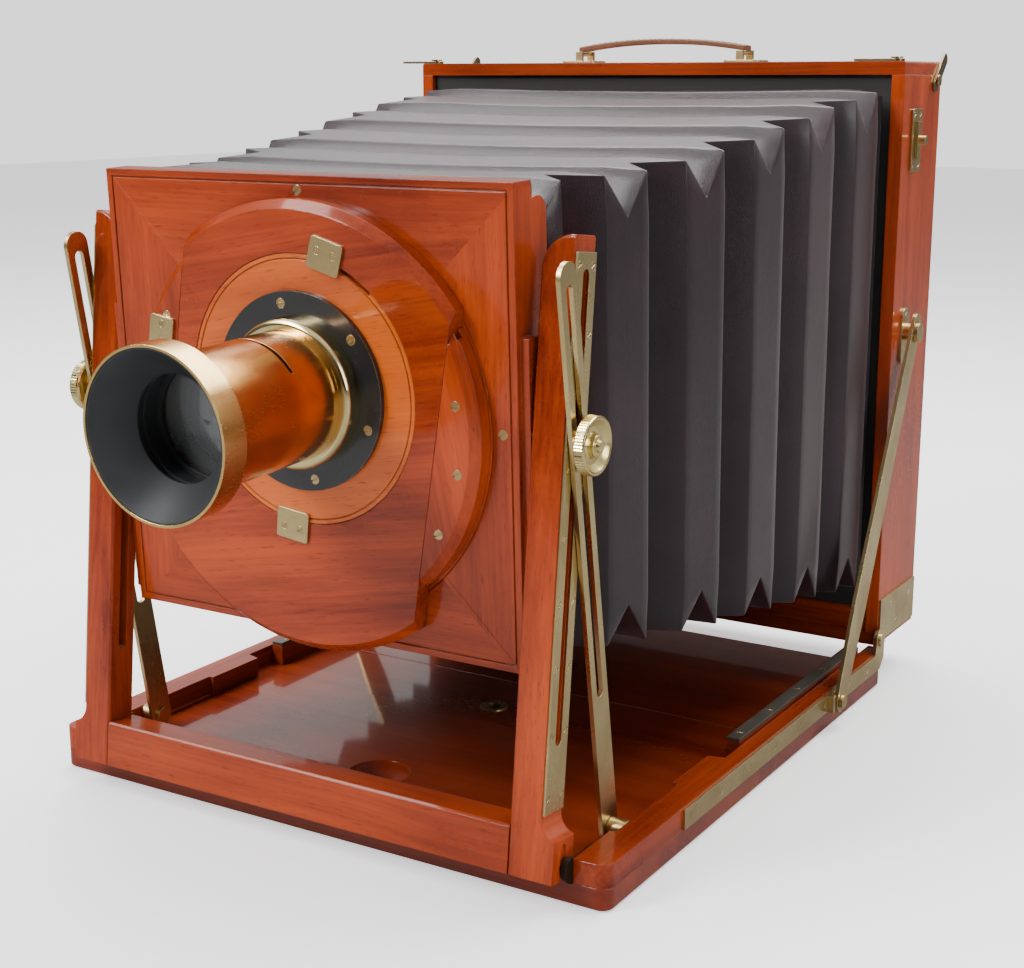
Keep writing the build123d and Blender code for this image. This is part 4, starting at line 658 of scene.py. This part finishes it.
def build_wheel(name, node, side, body, metal, steps):
    """A turned wheel with a milled rim, spun round the stud's axis."""
    low, high = (Vector(corner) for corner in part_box(node))
    start = low.x if side > 0 else high.x
    mesh = bpy.data.meshes.new(name)
    profile = [(start, STUD.y, STUD.z)]
    profile += [(start + side * out, STUD.y, STUD.z + radius) for out, radius in WHEEL]
    profile.append((start + side * WHEEL[-1][0], STUD.y, STUD.z))
    mesh.from_pydata(profile, [(n, n + 1) for n in range(len(profile) - 1)], [])
    wheel = bpy.data.objects.new(name, mesh)
    bpy.context.collection.objects.link(wheel)
    bpy.ops.object.select_all(action="DESELECT")
    wheel.select_set(True)
    bpy.context.view_layer.objects.active = wheel
    bpy.ops.object.mode_set(mode="EDIT")
    bpy.ops.mesh.select_all(action="SELECT")
    bpy.ops.mesh.spin(steps=steps, angle=2 * math.pi, center=(start, STUD.y, STUD.z), axis=(1, 0, 0))
    bpy.ops.mesh.select_all(action="SELECT")
    bpy.ops.mesh.remove_doubles(threshold=0.00001)
    bpy.ops.mesh.normals_make_consistent(inside=False)
    bpy.ops.object.mode_set(mode="OBJECT")
    rim = max(radius for _, radius in WHEEL)
    for vertex in mesh.vertices:
        arm = Vector((0, vertex.co.y - STUD.y, vertex.co.z - STUD.z))
        if abs(arm.length - rim) < 0.0001:
            tooth = round(math.atan2(arm.y, arm.z) / (2 * math.pi) * steps) % 2
            vertex.co += arm.normalized() * (-TOOTH_DEPTH if tooth else 0.0)
    mesh.materials.append(metal)
    shade(wheel, 24)
    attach(wheel, body)
    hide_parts(node)
    return wheel


class CAMERA_OT_wheels(bpy.types.Operator):
    """Turn the two clamping wheels, dished and milled on the rim."""

    bl_idname = "field_camera.wheels"
    bl_label = "Clamping wheels"

    def execute(self, context):
        metal = bpy.data.materials["brass_knob"]
        steps = context.scene.camera_stage.segments
        build_wheel("left_clamping_wheel", "left_clamp_knob", -1, "left_knob", metal, steps)
        build_wheel("right_clamping_wheel", "right_clamp_knob", 1, "right_knob", metal, steps)
        return {"FINISHED"}


# ------------------------------------------------------------------ carrying strap
STRAP_THICKNESS = 0.0034
STRAP_SIDE_GAP = 0.0004
STRAP_WAIST = 0.22  # share of its width that the strap loses in the middle
STRAP_CROWN = 0.0005
STITCH_PITCH = 0.0044
STITCHES_EACH_WAY = 12
STITCH_EDGE = 0.60  # share of the half width


class CAMERA_OT_strap(bpy.types.Operator):
    """Arched leather strap with stitched edges."""

    bl_idname = "field_camera.strap"
    bl_label = "Carrying strap"

    def execute(self, context):
        low, high = (Vector(corner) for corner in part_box("handle_strap"))
        centre = (low + high) / 2
        span = (high.x - low.x) / 2
        width = (high.y - low.y) / 2 - STRAP_SIDE_GAP
        rise = high.z - low.z
        thick = STRAP_THICKNESS
        leather = hide("strap_leather", (0.15, 0.058, 0.024), 0.42, (0.34, 0.20, 0.12), 700.0, 0.15)
        bpy.ops.object.select_all(action="DESELECT")
        bpy.ops.mesh.primitive_cube_add(size=1.0, location=(centre.x, centre.y, low.z + thick / 2))
        strap = bpy.context.object
        strap.name = strap.data.name = "carrying_strap"
        bpy.ops.transform.resize(value=(2 * span, 2 * width, thick))
        bpy.ops.object.mode_set(mode="EDIT")
        bpy.ops.mesh.select_all(action="SELECT")
        bpy.ops.mesh.subdivide(number_cuts=7)
        bpy.ops.object.mode_set(mode="OBJECT")
        bpy.ops.object.transform_apply(location=True, rotation=True, scale=True)
        for vertex in strap.data.vertices:
            along = (vertex.co.x - centre.x) / span
            across = (vertex.co.y - centre.y) / width
            lift = (rise - thick) * (1 - abs(along) ** 2.2)
            waist = 1.0 - STRAP_WAIST * (1 - abs(along) ** 2)
            vertex.co.y = centre.y + across * width * waist
            upper = 1 if vertex.co.z > low.z + thick / 2 else 0
            vertex.co.z += lift + STRAP_CROWN * (1 - across ** 2) * upper
        bend = strap.modifiers.new("round", "BEVEL")
        bend.width, bend.segments, bend.angle_limit = 0.0009, 3, math.radians(50)
        bpy.ops.object.modifier_apply(modifier="round")
        smooth = strap.modifiers.new("smooth", "SUBSURF")
        smooth.levels = smooth.render_levels = 2
        bpy.ops.object.modifier_apply(modifier="smooth")
        strap.data.materials.append(leather)
        shade(strap, 60)
        self.stitch(strap, centre, width)
        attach(strap, "back_box")
        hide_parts("handle_strap")
        return {"FINISHED"}

    def stitch(self, strap, centre, width):
        """Sew one row of thread along each edge, lying on the leather."""
        thread = hide("strap_thread", (0.30, 0.19, 0.10), 0.6, (0.45, 0.33, 0.2), 2600.0)
        stitches = []
        for side in (-1, 1):
            for number in range(-STITCHES_EACH_WAY, STITCHES_EACH_WAY + 1):
                x = centre.x + number * STITCH_PITCH
                y = centre.y + side * width * STITCH_EDGE
                hit, spot, normal, _ = strap.ray_cast(Vector((x, y, 1.0)), Vector((0, 0, -1)))
                if not hit:
                    continue
                bpy.ops.object.select_all(action="DESELECT")
                bpy.ops.mesh.primitive_uv_sphere_add(segments=8, ring_count=6, radius=1.0, location=spot)
                bead = bpy.context.object
                bead.scale = (0.0015, 0.00045, 0.00035)
                bead.rotation_euler = (0, math.atan2(normal.x, normal.z), 0)
                stitches.append(bead)
        bpy.ops.object.select_all(action="DESELECT")
        for bead in stitches:
            bead.select_set(True)
        bpy.context.view_layer.objects.active = stitches[0]
        bpy.ops.object.join()
        bpy.ops.object.transform_apply(location=True, rotation=True, scale=True)
        row = bpy.context.object
        row.name = row.data.name = "strap_stitching"
        row.data.materials.append(thread)
        shade(row, 60)
        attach(row, "back_box")


# ------------------------------------------------------------------ stage
FLOOR_CENTRE = (0, 1.4, -0.0005)
AIM = (0, 0.15, 0.2)
LIGHTS = (  # name, place, size, power
    ("key_window", (-1.2, -1.9, 1.7), (0.7, 0.9), 62),
    ("front_softbox", (-1.4, -1.0, 2.2), (1.3, 1.3), 48),
    ("top_softbox", (0.0, 0.9, 2.0), (2.4, 1.4), 92),
    ("right_fill", (2.2, -0.6, 1.0), (0.9, 1.3), 20),
)
CAMERA_PLACE = (0.5505, -0.7573, 0.4021)
CAMERA_TURN = (76.8, 0.0, 31.3)  # degrees
SENSOR_WIDTH = 36.0
FLOOR_GLOW = 0.7  # seen only by the camera
BACKDROP_GLOW = 1.6


def area_light(name, place, size, power):
    """A soft rectangular light pointed at the camera."""
    data = bpy.data.lights.new(name, "AREA")
    data.shape = "RECTANGLE"
    data.size, data.size_y = size
    data.energy = power
    lamp = bpy.data.objects.new(name, data)
    bpy.context.collection.objects.link(lamp)
    lamp.location = place
    lamp.rotation_euler = (Vector(AIM) - Vector(place)).to_track_quat("-Z", "Y").to_euler()


class CAMERA_OT_stage(bpy.types.Operator):
    """Pale floor, soft lights and the camera."""

    bl_idname = "field_camera.stage"
    bl_label = "Stage"

    def execute(self, context):
        size = context.scene.camera_stage
        bpy.ops.object.select_all(action="DESELECT")
        bpy.ops.mesh.primitive_plane_add(size=size.floor, location=FLOOR_CENTRE)
        floor = bpy.context.object
        floor.name = "stage_floor"
        made, tree, shader, place = start_material("stage_paper")
        speck = fbm(tree, stretch(tree, place, (3, 3, 3)), 1.0, 3.0)
        paper = blend_colour(tree, speck, (0.86, 0.86, 0.86), (0.90, 0.90, 0.90))
        mirrored = tree.nodes.new("ShaderNodeLightPath").outputs["Is Glossy Ray"]
        tree.links.new(blend_colour(tree, mirrored, paper, (0.20, 0.20, 0.20)), shader.inputs["Base Color"])
        shader.inputs["Roughness"].default_value = 0.55
        seen = tree.nodes.new("ShaderNodeLightPath").outputs["Is Camera Ray"]
        tree.links.new(calc(tree, "MULTIPLY", seen, FLOOR_GLOW), shader.inputs["Emission Strength"])
        shader.inputs["Emission Color"].default_value = (1.0, 1.0, 1.0, 1.0)
        floor.data.materials.append(made)
        world = bpy.data.worlds.new("studio")
        context.scene.world = world
        world.use_nodes = True
        backdrop = world.node_tree.nodes["Background"]
        sky = world.node_tree
        heading = sky.nodes.new("ShaderNodeTexCoord").outputs["Generated"]
        way = add_node(sky, "ShaderNodeSeparateXYZ", {0: heading})
        behind = calc(sky, "MULTIPLY", window(sky, way.outputs[1], -0.2, 0.7, 0.05, 0.95),
                      window(sky, way.outputs[2], 0.05, 0.3, 0.18, 1.0))
        overhead = window(sky, way.outputs[2], 0.4, 0.9, 0.0, 0.8)
        level = calc(sky, "MAXIMUM", behind, overhead)
        seen = sky.nodes.new("ShaderNodeLightPath").outputs["Is Camera Ray"]
        pale = add_node(sky, "ShaderNodeMix", {0: seen, 2: level, 3: BACKDROP_GLOW},
                        data_type="FLOAT").outputs[0]
        backdrop.inputs["Color"].default_value = (1.0, 1.0, 1.0, 1.0)
        sky.links.new(pale, backdrop.inputs["Strength"])
        for name, place, extent, power in LIGHTS:
            area_light(name, place, extent, power)
        data = bpy.data.cameras.new("view_camera")
        data.lens = size.lens
        data.sensor_width = SENSOR_WIDTH
        data.clip_start, data.clip_end = 0.01, 50.0
        camera = bpy.data.objects.new("view_camera", data)
        bpy.context.collection.objects.link(camera)
        camera.location = CAMERA_PLACE
        camera.rotation_euler = [math.radians(turn) for turn in CAMERA_TURN]
        context.scene.camera = camera
        return {"FINISHED"}


class CAMERA_PT_bench(bpy.types.Panel):
    """Lists the steps that finish the camera."""

    bl_label = "Field camera"
    bl_idname = "CAMERA_PT_bench"
    bl_space_type = "VIEW_3D"
    bl_region_type = "UI"
    bl_category = "Field camera"

    def draw(self, context):
        for name in STEPS:
            self.layout.operator(f"field_camera.{name}")


STEPS = ("finishes", "bellows", "wheels", "strap", "stage")
CLASSES = (FinishSettings, BellowsSettings, StageSettings, CAMERA_OT_finishes, CAMERA_OT_bellows,
           CAMERA_OT_wheels, CAMERA_OT_strap, CAMERA_OT_stage, CAMERA_PT_bench)


def register():
    """Register the settings, operators and panel."""
    for entry in CLASSES:
        bpy.utils.register_class(entry)
    bpy.types.Scene.camera_finish = bpy.props.PointerProperty(type=FinishSettings)
    bpy.types.Scene.camera_bellows = bpy.props.PointerProperty(type=BellowsSettings)
    bpy.types.Scene.camera_stage = bpy.props.PointerProperty(type=StageSettings)


def unregister():
    """Remove the settings, operators and panel."""
    for label in ("camera_finish", "camera_bellows", "camera_stage"):
        delattr(bpy.types.Scene, label)
    for entry in reversed(CLASSES):
        bpy.utils.unregister_class(entry)


def main():
    """Run every step."""
    register()
    for name in STEPS:
        getattr(bpy.ops.field_camera, name)()


if __name__ == "__main__":
    main()
